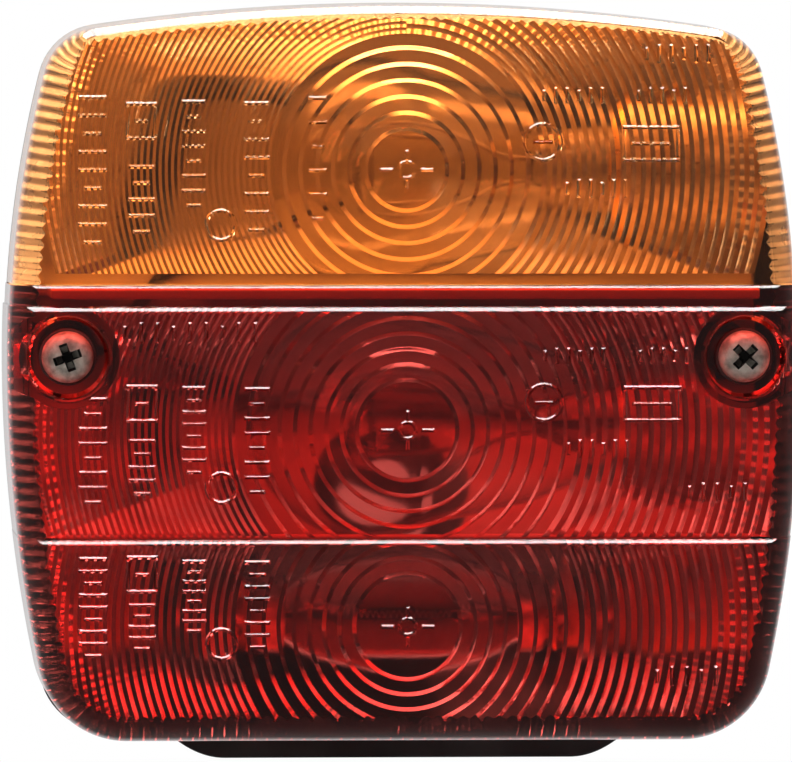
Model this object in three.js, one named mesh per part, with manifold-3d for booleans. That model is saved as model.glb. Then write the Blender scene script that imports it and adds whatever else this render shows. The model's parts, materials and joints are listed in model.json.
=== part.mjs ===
// A square rear lamp for trailers: a black housing that bolts to a panel, a two-colour lens held by
// two screws, and inside it the direction indicator, the stop lamp and the tail and plate lamp.
//
// Everything is modelled in lamp space: x to the right, y up, z out of the panel towards the viewer,
// in millimetres, with z = 0 on the back face. The exported group is turned so that +Z is up and the
// lens faces -Y.
import * as THREE from "three";
import { mergeVertices } from "three/addons/utils/BufferGeometryUtils.js";
import Module from "manifold-3d";

const wasm = await Module();
wasm.setup();

// ---- driving dimensions -------------------------------------------------------------------------

// The outline seen from the front is made of five arcs a side and a flat bottom edge.
const HALF_WIDTH = 52.5;
const WIDEST_Y = 2;
const TOP_Y = 48.9;
const BOTTOM_Y = -48.6;
const TOP_RADIUS = 283;
const UPPER_SIDE_RADIUS = 153;
const LOWER_SIDE_RADIUS = 200;
const UPPER_CORNER = 8.8;
const LENS_LOWER_CORNER = 12.5;
const HOUSING_LOWER_CORNER = 9.5;

const FACE_JOINT = 0.1; // left between two pieces that rest on each other

// Housing
const HOUSING_DEPTH = 19;
const HOUSING_TAPER = 1;
const BACK_WALL = 2.5;
const SIDE_WALL = 2.6;

// Lens
const GASKET_THICK = 0.8;
const LENS_BACK = HOUSING_DEPTH + GASKET_THICK + FACE_JOINT;
const LENS_WALL = 2.2;
const LENS_TAPER = 2.3; // at the sides and the bottom
const TOP_TAPER = 1.1;
const LENS_EDGE_RADIUS = 2.4;
const COLOUR_JOINT_Y = 11.6;
const STRIP_BOTTOM_Y = 8.85;
const LOWER_STEP_Y = -21.2;
const AMBER_FRONT = 46;
const STRIP_FRONT = 47;
const STOP_FRONT = 48.5;
const TAIL_FRONT = 49.5;
const AMBER_INSET = 0.3;
const STRIP_INSET = 0.15;
const LEVEL_LAP = 0.5; // how far each level of the red lens reaches into the deeper one below it

// Lens screws, 3.5 x 32 self-tapping
const LENS_SCREW = { x: 43.75, y: 2.25 };
const SCREW_SHANK = 1.6;
const SCREW_HEAD_RADIUS = 3.5;
const SCREW_HEAD_HEIGHT = 2.6;
const SCREW_LENGTH = 32;
const POCKET_RADIUS = 5.2;
const POCKET_WALL = 1.6;
const POCKET_FLOOR = 44;
const SEAL_THICK = 0.7;
const PILLAR_RADIUS = 2.9;
const PILLAR_BORE = 2.1;
const BOSS_RADIUS = 3.5;
const BOSS_TOP = 20.6;

// Inner tray with its two light dividers
const TRAY_BACK = 8.2;
const TRAY_FRONT = 9.6;
const DIVIDER = 1.4;
const UPPER_DIVIDER_Y = 9.7;
const LOWER_DIVIDER_Y = -21.9;

// Bulbs. The axis of each lies along x, and the bayonet bulbs' lengths are measured from the filament.
const BULB_DEPTH = 25;
const INDICATOR_Y = 26.4;
const STOP_Y = -7;
const TAIL = { y: -32.3, z: 27 };
const FILAMENT_X = -3;
const GLASS_RADIUS = 12.5;
const GLASS_TIP = -13.5;
const NECK = { radius: 6.5, from: 25, to: 35 };
const CAP = { radius: 7.5, from: 24.8, shoulder: 36.4, to: 37.2 };
const PIN_AT = 31.8;
const CONTACT_TIP = 38.7;
const BAYONET_TWIST = 25; // degrees
const BAYONET_PUSH = 2;

// Mounting bolts, M5
const BOLT = { spacing: 45, radius: 2.5, behind: 16, head: 3.5, acrossFlats: 8 };
const BOLT_SEAT = 4;
const WASHER = { from: 4.1, thick: 1, outer: 5, hole: 2.7 };
const NUT_HEIGHT = 4;

// Cable grommet
const GROMMET = { y: -15, bore: 3.2, neck: 5.3, flange: 7.6 };

// The back face is relieved but for a rim, a pad in the middle and one round each bolt.
const RELIEF = { depth: 0.8, rim: 5, padX: 14, padLow: -6.5, padHigh: 3.5, boltPad: 7 };

// ---- solids -------------------------------------------------------------------------------------

// A closed three.js geometry as a manifold-3d solid. Faces that point inwards are turned round.
function solid(geometry) {
  const bare = geometry.index ? geometry.toNonIndexed() : geometry.clone();
  bare.deleteAttribute("normal");
  bare.deleteAttribute("uv");
  const merged = mergeVertices(bare, 1e-4);
  const vertProperties = new Float32Array(merged.attributes.position.array);
  const triVerts = new Uint32Array(merged.index.array);
  const body = new wasm.Manifold(new wasm.Mesh({ numProp: 3, vertProperties, triVerts }));
  if (body.volume() >= 0) return body;
  return new wasm.Manifold(new wasm.Mesh({ numProp: 3, vertProperties, triVerts: triVerts.reverse() }));
}

// A manifold-3d solid as a three.js geometry.
function geometryOf(body) {
  const mesh = body.getMesh();
  const points = new Float32Array(mesh.numVert * 3);
  for (let i = 0; i < mesh.numVert; i++) {
    const start = i * mesh.numProp;
    points.set(mesh.vertProperties.subarray(start, start + 3), i * 3);
  }
  const geometry = new THREE.BufferGeometry();
  geometry.setAttribute("position", new THREE.BufferAttribute(points, 3));
  geometry.setIndex(new THREE.BufferAttribute(new Uint32Array(mesh.triVerts), 1));
  geometry.computeVertexNormals();
  return geometry;
}

const join = (...bodies) => bodies.reduce((a, b) => a.add(b));
const cut = (base, ...tools) => tools.reduce((a, b) => a.subtract(b), base);

// A box between two corners.
function box([x0, y0, z0], [x1, y1, z1]) {
  const geometry = new THREE.BoxGeometry(x1 - x0, y1 - y0, z1 - z0);
  geometry.translate((x0 + x1) / 2, (y0 + y1) / 2, (z0 + z1) / 2);
  return solid(geometry);
}

// A round bar along z, from z0 to z1, with its axis through (x, y).
function bar(radius, z0, z1, x = 0, y = 0, sides = 20) {
  const geometry = new THREE.CylinderGeometry(radius, radius, z1 - z0, sides);
  geometry.rotateX(Math.PI / 2);
  geometry.translate(x, y, (z0 + z1) / 2);
  return solid(geometry);
}

// A profile of [radius, distance] pairs turned about the z axis through (x, y).
function turned(profile, x = 0, y = 0, sides = 24) {
  const points = profile.map(([r, t]) => new THREE.Vector2(r, t));
  const geometry = new THREE.LatheGeometry(points, sides);
  geometry.rotateX(Math.PI / 2);
  geometry.translate(x, y, 0);
  return solid(geometry);
}

// The same about the line through (y, z) along x: distance runs along +x.
function turnedAlongX(profile, y, z, sides = 24) {
  const points = profile.map(([r, t]) => new THREE.Vector2(r, t));
  const geometry = new THREE.LatheGeometry(points, sides);
  geometry.rotateZ(-Math.PI / 2);
  geometry.translate(0, y, z);
  return solid(geometry);
}

// A flat shape, given by its corner points, drawn out by a depth.
function drawnOut(points, depth) {
  const shape = new THREE.Shape(points.map(([x, y]) => new THREE.Vector2(x, y)));
  return new THREE.ExtrudeGeometry(shape, { depth, bevelEnabled: false });
}

// A shape in x and y, from z0 to z1.
function prism(points, z0, z1) {
  return solid(drawnOut(points, z1 - z0).translate(0, 0, z0));
}

// A shape in x and z, from y0 to y1.
function plate(points, y0, y1) {
  return solid(drawnOut(points, y1 - y0).rotateX(Math.PI / 2).translate(0, y1, 0));
}

// A hexagonal bar along z, across its flats.
function hexagon(acrossFlats, z0, z1, x, y) {
  return bar(acrossFlats / Math.sqrt(3), z0, z1, x, y, 6);
}

// A round wire that follows the given points.
function wire(radius, points, steps, sides = 8) {
  const section = new THREE.Shape();
  for (let i = 0; i < sides; i++) {
    const turn = (i * 2 * Math.PI) / sides;
    const [x, y] = [radius * Math.cos(turn), radius * Math.sin(turn)];
    if (i === 0) section.moveTo(x, y);
    else section.lineTo(x, y);
  }
  const path = new THREE.CatmullRomCurve3(points.map((p) => new THREE.Vector3(...p)), false, "centripetal");
  return solid(new THREE.ExtrudeGeometry(section, { extrudePath: path, steps }));
}

// ---- the outline --------------------------------------------------------------------------------

// Where two circles meet, on the side of larger x.
function circlesMeet(a, ra, b, rb) {
  const between = new THREE.Vector2().subVectors(b, a);
  const apart = between.length();
  const along = (ra * ra - rb * rb + apart * apart) / (2 * apart);
  const across = Math.sqrt(ra * ra - along * along);
  const unit = between.normalize();
  const foot = new THREE.Vector2().copy(a).addScaledVector(unit, along);
  const one = new THREE.Vector2(foot.x - unit.y * across, foot.y + unit.x * across);
  const two = new THREE.Vector2(foot.x + unit.y * across, foot.y - unit.x * across);
  return one.x > two.x ? one : two;
}

// The lamp's outline moved inwards by inset, as points anticlockwise from the bottom centre. Each arc
// keeps its centre and its angles, so outlines of different insets have matching points. Share says how
// much of the lens's taper comes on top: the top edge has less of it than the sides.
function outline(inset, lowerCorner, share = 0) {
  const top = new THREE.Vector2(0, TOP_Y - TOP_RADIUS);
  const upper = new THREE.Vector2(HALF_WIDTH - UPPER_SIDE_RADIUS, WIDEST_Y);
  const lower = new THREE.Vector2(HALF_WIDTH - LOWER_SIDE_RADIUS, WIDEST_Y);
  const upperCorner = circlesMeet(top, TOP_RADIUS - UPPER_CORNER, upper, UPPER_SIDE_RADIUS - UPPER_CORNER);
  const cornerY = BOTTOM_Y + lowerCorner;
  const reach = LOWER_SIDE_RADIUS - lowerCorner;
  const bottomCorner = new THREE.Vector2(
    lower.x + Math.sqrt(reach ** 2 - (cornerY - WIDEST_Y) ** 2),
    cornerY,
  );
  const angle = (from, to) => Math.atan2(to.y - from.y, to.x - from.x);
  const lowTurn = angle(lower, bottomCorner);
  const highTurn = angle(upper, upperCorner);
  const topTurn = angle(top, upperCorner);
  const arcs = [
    [bottomCorner, lowerCorner, -Math.PI / 2, lowTurn, 6],
    [lower, LOWER_SIDE_RADIUS, lowTurn, 0, 3],
    [upper, UPPER_SIDE_RADIUS, 0, highTurn, 3],
    [upperCorner, UPPER_CORNER, highTurn, topTurn, 5],
    [top, TOP_RADIUS, topTurn, Math.PI / 2, 4],
  ];
  const right = [];
  arcs.forEach(([centre, radius, from, to, steps], arc) => {
    for (let i = arc ? 1 : 0; i <= steps; i++) {
      const turn = from + ((to - from) * i) / steps;
      const upward = Math.max(0, Math.sin(turn)) ** 4;
      const r = radius - inset - share * THREE.MathUtils.lerp(LENS_TAPER, TOP_TAPER, upward);
      right.push([centre.x + r * Math.cos(turn), centre.y + r * Math.sin(turn)]);
    }
  });
  const left = right.slice(0, -1).reverse().map(([x, y]) => [-x, y]);
  return [...right, ...left];
}

// A solid through outlines of the given [z, inset, share of the taper] levels.
function loft(levels, lowerCorner) {
  const rings = levels.map(([z, inset, share]) =>
    outline(inset, lowerCorner, share).map(([x, y]) => [x, y, z]),
  );
  const count = rings[0].length;
  const faces = [];
  rings.slice(1).forEach((ring, level) => {
    const below = rings[level];
    for (let i = 0; i < count; i++) {
      const next = (i + 1) % count;
      faces.push(below[i], below[next], ring[next], below[i], ring[next], ring[i]);
    }
  });
  const flat = (ring) => ring.map(([x, y]) => new THREE.Vector2(x, y));
  const first = rings[0];
  const last = rings.at(-1);
  for (const [a, b, c] of THREE.ShapeUtils.triangulateShape(flat(first), [])) {
    faces.push(first[a], first[c], first[b]);
  }
  for (const [a, b, c] of THREE.ShapeUtils.triangulateShape(flat(last), [])) {
    faces.push(last[a], last[b], last[c]);
  }
  const geometry = new THREE.BufferGeometry();
  geometry.setAttribute("position", new THREE.Float32BufferAttribute(faces.flat(), 3));
  return solid(geometry);
}

// Everything between two heights.
const between = (y0, y1) => box([-80, y0, -10], [80, y1, 80]);

// ---- materials ----------------------------------------------------------------------------------

const finish = (color, roughness, metalness = 0, extra = {}) =>
  new THREE.MeshStandardMaterial({ color, roughness, metalness, ...extra });
const MATERIALS = {
  amber: finish(0xe07a1c, 0.08, 0, { transparent: true, opacity: 0.75 }),
  red: finish(0xc81e1c, 0.08, 0, { transparent: true, opacity: 0.75 }),
  black: finish(0x141416, 0.45),
  tray: finish(0xd8d8d4, 0.5),
  rubber: finish(0x1c1c1c, 0.85),
  clear: finish(0xeef4f6, 0.05, 0, { transparent: true, opacity: 0.35 }),
  glass: finish(0xf2f6f8, 0.03, 0, { transparent: true, opacity: 0.3 }),
  steel: finish(0xb6b4ae, 0.35, 1),
  brass: finish(0xc9a24a, 0.3, 1),
  tungsten: finish(0x6e6a66, 0.5, 1),
  vitrite: finish(0x101214, 0.2),
  block: finish(0xe6e0d2, 0.5),
  leadBlack: finish(0x18181a, 0.5),
  leadBrown: finish(0x4a2c1c, 0.5),
};

const lamp = new THREE.Group();

function add(name, material, body) {
  const mesh = new THREE.Mesh(geometryOf(body), material);
  mesh.name = name;
  lamp.add(mesh);
}

// ---- housing ------------------------------------------------------------------------------------

const SIDES = [
  ["left", -1],
  ["right", 1],
];
const HOOD = { top: 31, bottom: 25.5, y: -51.8, z0: 3, z1: 18.4 };
const WINDOW = { halfWidth: 22.8, z0: 5.2, z1: 16.3, y0: -50.8, y1: -48.8, ledge: 1.4 };

// Rivet places: two in the foot of each bulb holder, one in each tail terminal.
const FOOT_RIVETS = [26.5, 34.5];
const TAIL_RIVET = 24;
const RIVET = { head: 2.2, shank: 1.2, hole: 1.55, tail: 3.5 };
const footPlaces = [INDICATOR_Y, STOP_Y].flatMap((y) => FOOT_RIVETS.map((x) => [x, y]));

// The outline of the hood below the housing, which frames the plate window.
function hoodOutline() {
  const right = new THREE.Path();
  right.moveTo(HOOD.top, BOTTOM_Y + 1.5);
  right.lineTo(HOOD.top - 0.6, BOTTOM_Y);
  right.quadraticCurveTo(HOOD.bottom + 1.2, HOOD.y, HOOD.bottom - 2.5, HOOD.y);
  const points = right.getPoints(8).map((p) => [p.x, p.y]);
  const left = points.map(([x, y]) => [-x, y]);
  return [...left, ...points.reverse()];
}

// What is taken off the back face.
function backRelief() {
  const recess = loft(
    [[-1, HOUSING_TAPER + RELIEF.rim], [RELIEF.depth, HOUSING_TAPER + RELIEF.rim]],
    HOUSING_LOWER_CORNER,
  );
  const pad = box([-RELIEF.padX, RELIEF.padLow, -2], [RELIEF.padX, RELIEF.padHigh, 2]);
  const boltPads = SIDES.map(([, side]) => bar(RELIEF.boltPad, -2, 2, (side * BOLT.spacing) / 2, 0));
  return cut(recess, pad, ...boltPads);
}

function housing() {
  const shell = cut(
    loft([[0, HOUSING_TAPER], [HOUSING_DEPTH, 0]], HOUSING_LOWER_CORNER),
    loft([[BACK_WALL, SIDE_WALL + HOUSING_TAPER], [HOUSING_DEPTH + 1, SIDE_WALL]], HOUSING_LOWER_CORNER),
  );
  const lensBosses = SIDES.map(([, side]) => bar(BOSS_RADIUS, 1, BOSS_TOP, side * LENS_SCREW.x, LENS_SCREW.y));
  const boltSeats = SIDES.map(([, side]) => bar(7, 1, BOLT_SEAT, (side * BOLT.spacing) / 2, 0));
  const footBosses = footPlaces.map(([x, y]) => bar(2.6, 1, TRAY_BACK - FACE_JOINT, x, y, 12));
  const hood = prism(hoodOutline(), HOOD.z0, HOOD.z1);
  const pilots = SIDES.map(([, side]) => bar(1.95, 5, BOSS_TOP + 1, side * LENS_SCREW.x, LENS_SCREW.y, 16));
  const boltHoles = SIDES.map(([, side]) => bar(2.8, -1, 10, (side * BOLT.spacing) / 2, 0));
  const footHoles = footPlaces.map(([x, y]) => bar(RIVET.hole, BACK_WALL, TRAY_BACK + 1, x, y, 12));
  const cableHole = join(
    bar(GROMMET.neck + 0.3, -1, 5, 0, GROMMET.y),
    bar(GROMMET.flange + 0.3, -1, 1.4, 0, GROMMET.y),
  );
  const windowSeat = box(
    [-WINDOW.halfWidth - 0.3, WINDOW.y0 - 0.2, WINDOW.z0 - 0.3],
    [WINDOW.halfWidth + 0.3, BOTTOM_Y + 6, WINDOW.z1 + 0.3],
  );
  const windowMouth = box(
    [-WINDOW.halfWidth + WINDOW.ledge, HOOD.y - 1, WINDOW.z0 + WINDOW.ledge],
    [WINDOW.halfWidth - WINDOW.ledge, BOTTOM_Y, WINDOW.z1 - WINDOW.ledge],
  );
  return cut(
    join(shell, hood, ...lensBosses, ...boltSeats, ...footBosses),
    backRelief(),
    ...pilots,
    ...boltHoles,
    ...footHoles,
    cableHole,
    windowSeat,
    windowMouth,
  );
}

function gasket() {
  const z0 = HOUSING_DEPTH + FACE_JOINT;
  const z1 = HOUSING_DEPTH + GASKET_THICK;
  return cut(
    loft([[z0, 0.5], [z1, 0.5]], LENS_LOWER_CORNER),
    loft([[z0 - 1, 2.2], [z1 + 1, 2.2]], LENS_LOWER_CORNER),
  );
}

function plateWindow() {
  return box([-WINDOW.halfWidth, WINDOW.y0, WINDOW.z0], [WINDOW.halfWidth, WINDOW.y1, WINDOW.z1]);
}

function grommet() {
  return turned(
    [
      [GROMMET.bore, 0.2],
      [GROMMET.flange, 0.2],
      [GROMMET.flange, 1.2],
      [GROMMET.neck, 1.2],
      [GROMMET.neck, 2.7],
      [GROMMET.flange - 0.4, 2.7],
      [GROMMET.neck, 4.4],
      [GROMMET.bore, 4.4],
      [GROMMET.bore, 0.2],
    ],
    0,
    GROMMET.y,
  );
}

add("housing", MATERIALS.black, housing());
add("lens_gasket", MATERIALS.rubber, gasket());
add("plate_window", MATERIALS.clear, plateWindow());
add("cable_grommet", MATERIALS.rubber, grommet());

// ---- inner tray ---------------------------------------------------------------------------------

function tray() {
  const panel = loft([[TRAY_BACK, 4], [TRAY_FRONT, 4]], HOUSING_LOWER_CORNER);
  const upper = plate(
    [[-47, TRAY_BACK], [47, TRAY_BACK], [45.8, 44.3], [-45.8, 44.3]],
    UPPER_DIVIDER_Y,
    UPPER_DIVIDER_Y + DIVIDER,
  );
  const lower = plate(
    [[-46.4, TRAY_BACK], [46.4, TRAY_BACK], [44.6, 45.8], [-44.6, 45.8]],
    LOWER_DIVIDER_Y,
    LOWER_DIVIDER_Y + DIVIDER,
  );
  const leadNotches = [
    box([-37, UPPER_DIVIDER_Y - 1, TRAY_FRONT + 0.1], [-26, UPPER_DIVIDER_Y + 3, TRAY_FRONT + 5]),
    box([-29.5, LOWER_DIVIDER_Y - 1, TRAY_FRONT + 0.1], [-22.5, LOWER_DIVIDER_Y + 3, TRAY_FRONT + 5]),
  ];
  const bossGaps = SIDES.map(([, side]) =>
    bar(BOSS_RADIUS + 0.6, 5, 12, side * LENS_SCREW.x, LENS_SCREW.y),
  );
  const rivetPlaces = [...footPlaces, [-TAIL_RIVET, TAIL.y], [TAIL_RIVET, TAIL.y]];
  const rivetHoles = rivetPlaces.map(([x, y]) => bar(RIVET.hole, 5, 12, x, y, 12));
  const cableHole = bar(6.5, 5, 12, 0, GROMMET.y);
  const plateLight = box([-16.5, -60, 5], [16.5, -25, 12]);
  const windowGap = box([-24, -60, 5], [24, -43, 12]);
  return cut(
    join(panel, upper, lower),
    ...leadNotches,
    ...bossGaps,
    ...rivetHoles,
    cableHole,
    plateLight,
    windowGap,
  );
}

add("inner_tray", MATERIALS.tray, tray());

// ---- lens ---------------------------------------------------------------------------------------

// One level of the lens, filled, up to its front face.
function lensLevel(front, inset) {
  const straight = front - LENS_EDGE_RADIUS;
  const levels = [[LENS_BACK, inset], [straight, inset, 1]];
  for (const turn of [30, 60, 90]) {
    const angle = THREE.MathUtils.degToRad(turn);
    levels.push([
      straight + LENS_EDGE_RADIUS * Math.sin(angle),
      inset + LENS_EDGE_RADIUS * (1 - Math.cos(angle)),
      1,
    ]);
  }
  return loft(levels, LENS_LOWER_CORNER);
}

// The space inside one level of the lens.
function lensSpace(front, inset) {
  const depth = front - LENS_WALL;
  return loft(
    [
      [LENS_BACK - 1, inset + LENS_WALL],
      [depth - 1.2, inset + LENS_WALL, 1],
      [depth, inset + LENS_WALL + 1.2, 1],
    ],
    LENS_LOWER_CORNER,
  );
}

function amberLens() {
  const shell = cut(lensLevel(AMBER_FRONT, AMBER_INSET), lensSpace(AMBER_FRONT, AMBER_INSET));
  return shell.intersect(between(COLOUR_JOINT_Y, 60));
}

// The red lens has three levels: a low strip under the amber, the stop lamp and the tail lamp.
function redLens() {
  const levels = [
    [STRIP_FRONT, STRIP_INSET, STRIP_BOTTOM_Y, COLOUR_JOINT_Y - FACE_JOINT],
    [STOP_FRONT, 0, LOWER_STEP_Y, STRIP_BOTTOM_Y],
    [TAIL_FRONT, 0, -60, LOWER_STEP_Y],
  ];
  const stacked = (part) =>
    join(...levels.map(([front, inset, y0, y1]) => part(front, inset).intersect(between(y0 - LEVEL_LAP, y1))));
  const outside = stacked(lensLevel);
  const inside = stacked(lensSpace);
  const onScrew = (radius, z0, z1) =>
    SIDES.map(([, side]) => bar(radius, z0, z1, side * LENS_SCREW.x, LENS_SCREW.y));
  const wells = onScrew(POCKET_RADIUS + POCKET_WALL, POCKET_FLOOR - LENS_WALL, STOP_FRONT);
  const pillars = onScrew(PILLAR_RADIUS, BOSS_TOP + 0.4, POCKET_FLOOR);
  const pockets = onScrew(POCKET_RADIUS, POCKET_FLOOR, STOP_FRONT + 1);
  const bores = onScrew(PILLAR_BORE, BOSS_TOP - 1, STOP_FRONT);
  const filled = join(cut(outside, inside), ...wells, ...pillars).intersect(outside);
  return cut(filled, ...pockets, ...bores);
}

add("amber_lens", MATERIALS.amber, amberLens());
add("red_lens", MATERIALS.red, redLens());

// ---- lens screws and their seals ----------------------------------------------------------------

function lensScrew(x, y) {
  const base = POCKET_FLOOR + SEAL_THICK + 2 * FACE_JOINT;
  const tip = base - SCREW_LENGTH;
  const body = turned(
    [
      [0, tip],
      [SCREW_SHANK, tip + 3],
      [SCREW_SHANK, base],
      [SCREW_HEAD_RADIUS, base],
      [SCREW_HEAD_RADIUS, base + 0.9],
      [SCREW_HEAD_RADIUS * 0.86, base + 1.8],
      [SCREW_HEAD_RADIUS * 0.55, base + 2.4],
      [0, base + SCREW_HEAD_HEIGHT],
    ],
    x,
    y,
  );
  const slot = (turn) =>
    solid(new THREE.BoxGeometry(3.8, 0.95, 3).rotateZ(turn).translate(x, y, base + 2.7));
  return cut(body, slot(Math.PI / 4), slot(-Math.PI / 4));
}

function screwSeal(x, y) {
  const back = POCKET_FLOOR + FACE_JOINT;
  const front = back + SEAL_THICK;
  return turned([[2, back], [3.7, back], [3.7, front], [2, front], [2, back]], x, y);
}

for (const [word, side] of SIDES) {
  add(`${word}_lens_screw`, MATERIALS.steel, lensScrew(side * LENS_SCREW.x, LENS_SCREW.y));
  add(`${word}_screw_seal`, MATERIALS.rubber, screwSeal(side * LENS_SCREW.x, LENS_SCREW.y));
}

// ---- bayonet bulbs ------------------------------------------------------------------------------

// A profile of [radius, distance from the filament] pairs turned about a bulb's axis.
function onBulb(profile, y, sides = 24) {
  return turnedAlongX(profile.map(([r, t]) => [r, FILAMENT_X + t]), y, BULB_DEPTH, sides);
}

function bulbGlass(y) {
  const wall = 0.7;
  const globe = (radius) =>
    [0, 18, 36, 54, 72, 90, 108, 126].map((turn) => {
      const angle = THREE.MathUtils.degToRad(turn);
      return [radius * Math.sin(angle), GLASS_TIP + GLASS_RADIUS - radius * Math.cos(angle)];
    });
  const neck = (radius) => [[radius + 1, 22], [radius, NECK.from], [radius, NECK.to]];
  const outside = [...globe(GLASS_RADIUS), ...neck(NECK.radius)];
  const inside = [...globe(GLASS_RADIUS - wall), ...neck(NECK.radius - wall)].reverse();
  return onBulb([...outside, ...inside], y);
}

function bulbCap(y) {
  const bore = CAP.radius - 0.7;
  const shell = onBulb(
    [
      [bore, CAP.from],
      [CAP.radius, CAP.from],
      [CAP.radius, CAP.shoulder],
      [bore, CAP.to],
      [bore, CAP.from],
    ],
    y,
  );
  const pins = [1, -1].map((side) => {
    const pin = new THREE.CylinderGeometry(1, 1, 2, 12);
    return solid(pin.translate(FILAMENT_X + PIN_AT, y + side * (CAP.radius + 0.4), BULB_DEPTH));
  });
  return join(shell, ...pins);
}

function capInsulator(y) {
  return onBulb([[0, 35.9], [6.4, 35.9], [6.4, 37.3], [3, 38], [2.6, 38.6], [0, CONTACT_TIP]], y);
}

function bulbFilament(y) {
  const stem = onBulb([[0, 18], [2.2, 18], [3.6, 22], [3.6, 35.4], [0, 35.4]], y, 16);
  const spread = 3.6;
  const post = (side) => [
    [FILAMENT_X + 19, y + side * 1.4, BULB_DEPTH],
    [FILAMENT_X + 10, y + side * 3, BULB_DEPTH],
    [FILAMENT_X, y + side * spread, BULB_DEPTH],
  ];
  const coil = [-1, 0, 1].map((side) => [FILAMENT_X, y + side * (spread + 0.2), BULB_DEPTH]);
  return join(stem, wire(0.4, post(-1), 6, 6), wire(0.4, post(1), 6, 6), wire(0.45, coil, 2, 6));
}

// ---- bulb holders and their spring contacts -----------------------------------------------------

const HOLDER = { inner: 7.75, outer: 8.4, mouth: 26.6, end: 44.5, floor: 0.6, mouthRadius: 3 };
const DISC = { radius: 7.3, from: CONTACT_TIP + 0.1, thick: 1 };
const BRACKET = { left: 23.5, right: 38.4, halfWidth: 5, thick: 1 };

// Each slot is as wide as the push and the twist together, so that the pin clears it anywhere.
function bulbHolder(y) {
  const { inner, outer, mouth, end, floor, mouthRadius } = HOLDER;
  const shell = onBulb(
    [
      [inner, mouth],
      [outer, mouth],
      [outer, end - 2.6],
      [6.8, end],
      [mouthRadius, end],
      [mouthRadius, end - floor],
      [6.2, end - floor],
      [inner, end - 3],
      [inner, mouth],
    ],
    y,
    32,
  );
  const pinRoom = 1.25;
  const roomTurn = THREE.MathUtils.radToDeg(pinRoom / inner);
  const slot = (turns, [from, to], side) => {
    const points = [[0, 0]];
    for (let i = 0; i <= 4; i++) {
      const angle = THREE.MathUtils.degToRad(turns[0] + ((turns[1] - turns[0]) * i) / 4);
      points.push([-11 * Math.sin(angle), 11 * Math.cos(angle)]);
    }
    const wedge = drawnOut(points, to - from).rotateY(Math.PI / 2);
    return solid(wedge.rotateX(side < 0 ? Math.PI : 0).translate(FILAMENT_X + from, y, BULB_DEPTH));
  };
  const cuts = [1, -1].flatMap((side) => [
    slot([-roomTurn, BAYONET_TWIST + roomTurn], [PIN_AT - pinRoom, PIN_AT + BAYONET_PUSH + pinRoom], side),
    slot([BAYONET_TWIST - roomTurn, BAYONET_TWIST + roomTurn], [mouth - 1, PIN_AT], side),
  ]);
  return cut(shell, ...cuts);
}

function holderBracket(y) {
  const { left, right, halfWidth, thick } = BRACKET;
  const floor = TRAY_FRONT + FACE_JOINT;
  const foot = box([left, y - halfWidth, floor], [right, y + halfWidth, floor + thick]);
  const web = box([right - 1.2, y - halfWidth, floor], [right, y + halfWidth, BULB_DEPTH - 6]);
  const saddle = box([right - 10, y - 4, 14.6], [right, y + 4, BULB_DEPTH - 6]);
  const holes = FOOT_RIVETS.map((x) => bar(RIVET.hole, floor - 1, floor + 2, x, y, 12));
  const room = onBulb([[0, 15], [HOLDER.outer + 0.1, 15], [HOLDER.outer + 0.1, 50], [0, 50]], y, 32);
  return cut(join(foot, web, saddle), room, ...holes);
}

function contactDisc(y) {
  const rim = DISC.from + DISC.thick;
  return onBulb([[0, DISC.from], [DISC.radius, DISC.from], [DISC.radius, rim], [0, rim]], y);
}

// A conical spring that pushes the disc against the bulb.
function contactSpring(y) {
  const from = FILAMENT_X + DISC.from + DISC.thick + 0.5;
  const to = FILAMENT_X + HOLDER.end - HOLDER.floor - 0.5;
  const turns = 2.5;
  const steps = 20;
  const points = [];
  for (let i = 0; i <= steps; i++) {
    const share = i / steps;
    const angle = share * turns * 2 * Math.PI;
    const radius = 2.6 + 2.6 * share;
    const [up, out] = [radius * Math.cos(angle), radius * Math.sin(angle)];
    points.push([from + (to - from) * share, y + up, BULB_DEPTH + out]);
  }
  return wire(0.25, points, 36, 5);
}

// A rivet from above the given face, set below by its length.
function rivet(x, y, face, length) {
  return turned(
    [
      [0, face - length],
      [RIVET.shank, face - length],
      [RIVET.shank, face],
      [RIVET.head, face],
      [RIVET.head * 0.75, face + 0.7],
      [0, face + 1],
    ],
    x,
    y,
    14,
  );
}

const footFace = TRAY_FRONT + BRACKET.thick + 2 * FACE_JOINT;
for (const [word, y] of [
  ["indicator", INDICATOR_Y],
  ["stop", STOP_Y],
]) {
  add(`${word}_bulb_glass`, MATERIALS.glass, bulbGlass(y));
  add(`${word}_bulb_cap`, MATERIALS.brass, bulbCap(y));
  add(`${word}_bulb_contact`, MATERIALS.vitrite, capInsulator(y));
  add(`${word}_bulb_filament`, MATERIALS.tungsten, bulbFilament(y));
  add(`${word}_bulb_holder`, MATERIALS.steel, bulbHolder(y));
  add(`${word}_holder_bracket`, MATERIALS.steel, holderBracket(y));
  add(`${word}_contact_disc`, MATERIALS.block, contactDisc(y));
  add(`${word}_contact_spring`, MATERIALS.steel, contactSpring(y));
  FOOT_RIVETS.forEach((x, i) => {
    add(`${word}_bracket_rivet_${i + 1}`, MATERIALS.steel, rivet(x, y, footFace, RIVET.tail + 3));
  });
}

// ---- festoon bulb and its contacts --------------------------------------------------------------

const FESTOON = { capBore: 3.5, capRadius: 4.2, capFrom: 12.7, coneFrom: 15.5, tip: 18.9, tipRadius: 0.8 };
const BLADE = { x0: 17.4, x1: 17.9, halfWidth: 4, top: 32, hole: 2.65 };
const TERMINAL = { inner: 17.2, outer: 30, halfWidth: 4.5, thick: 0.8 };

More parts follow.
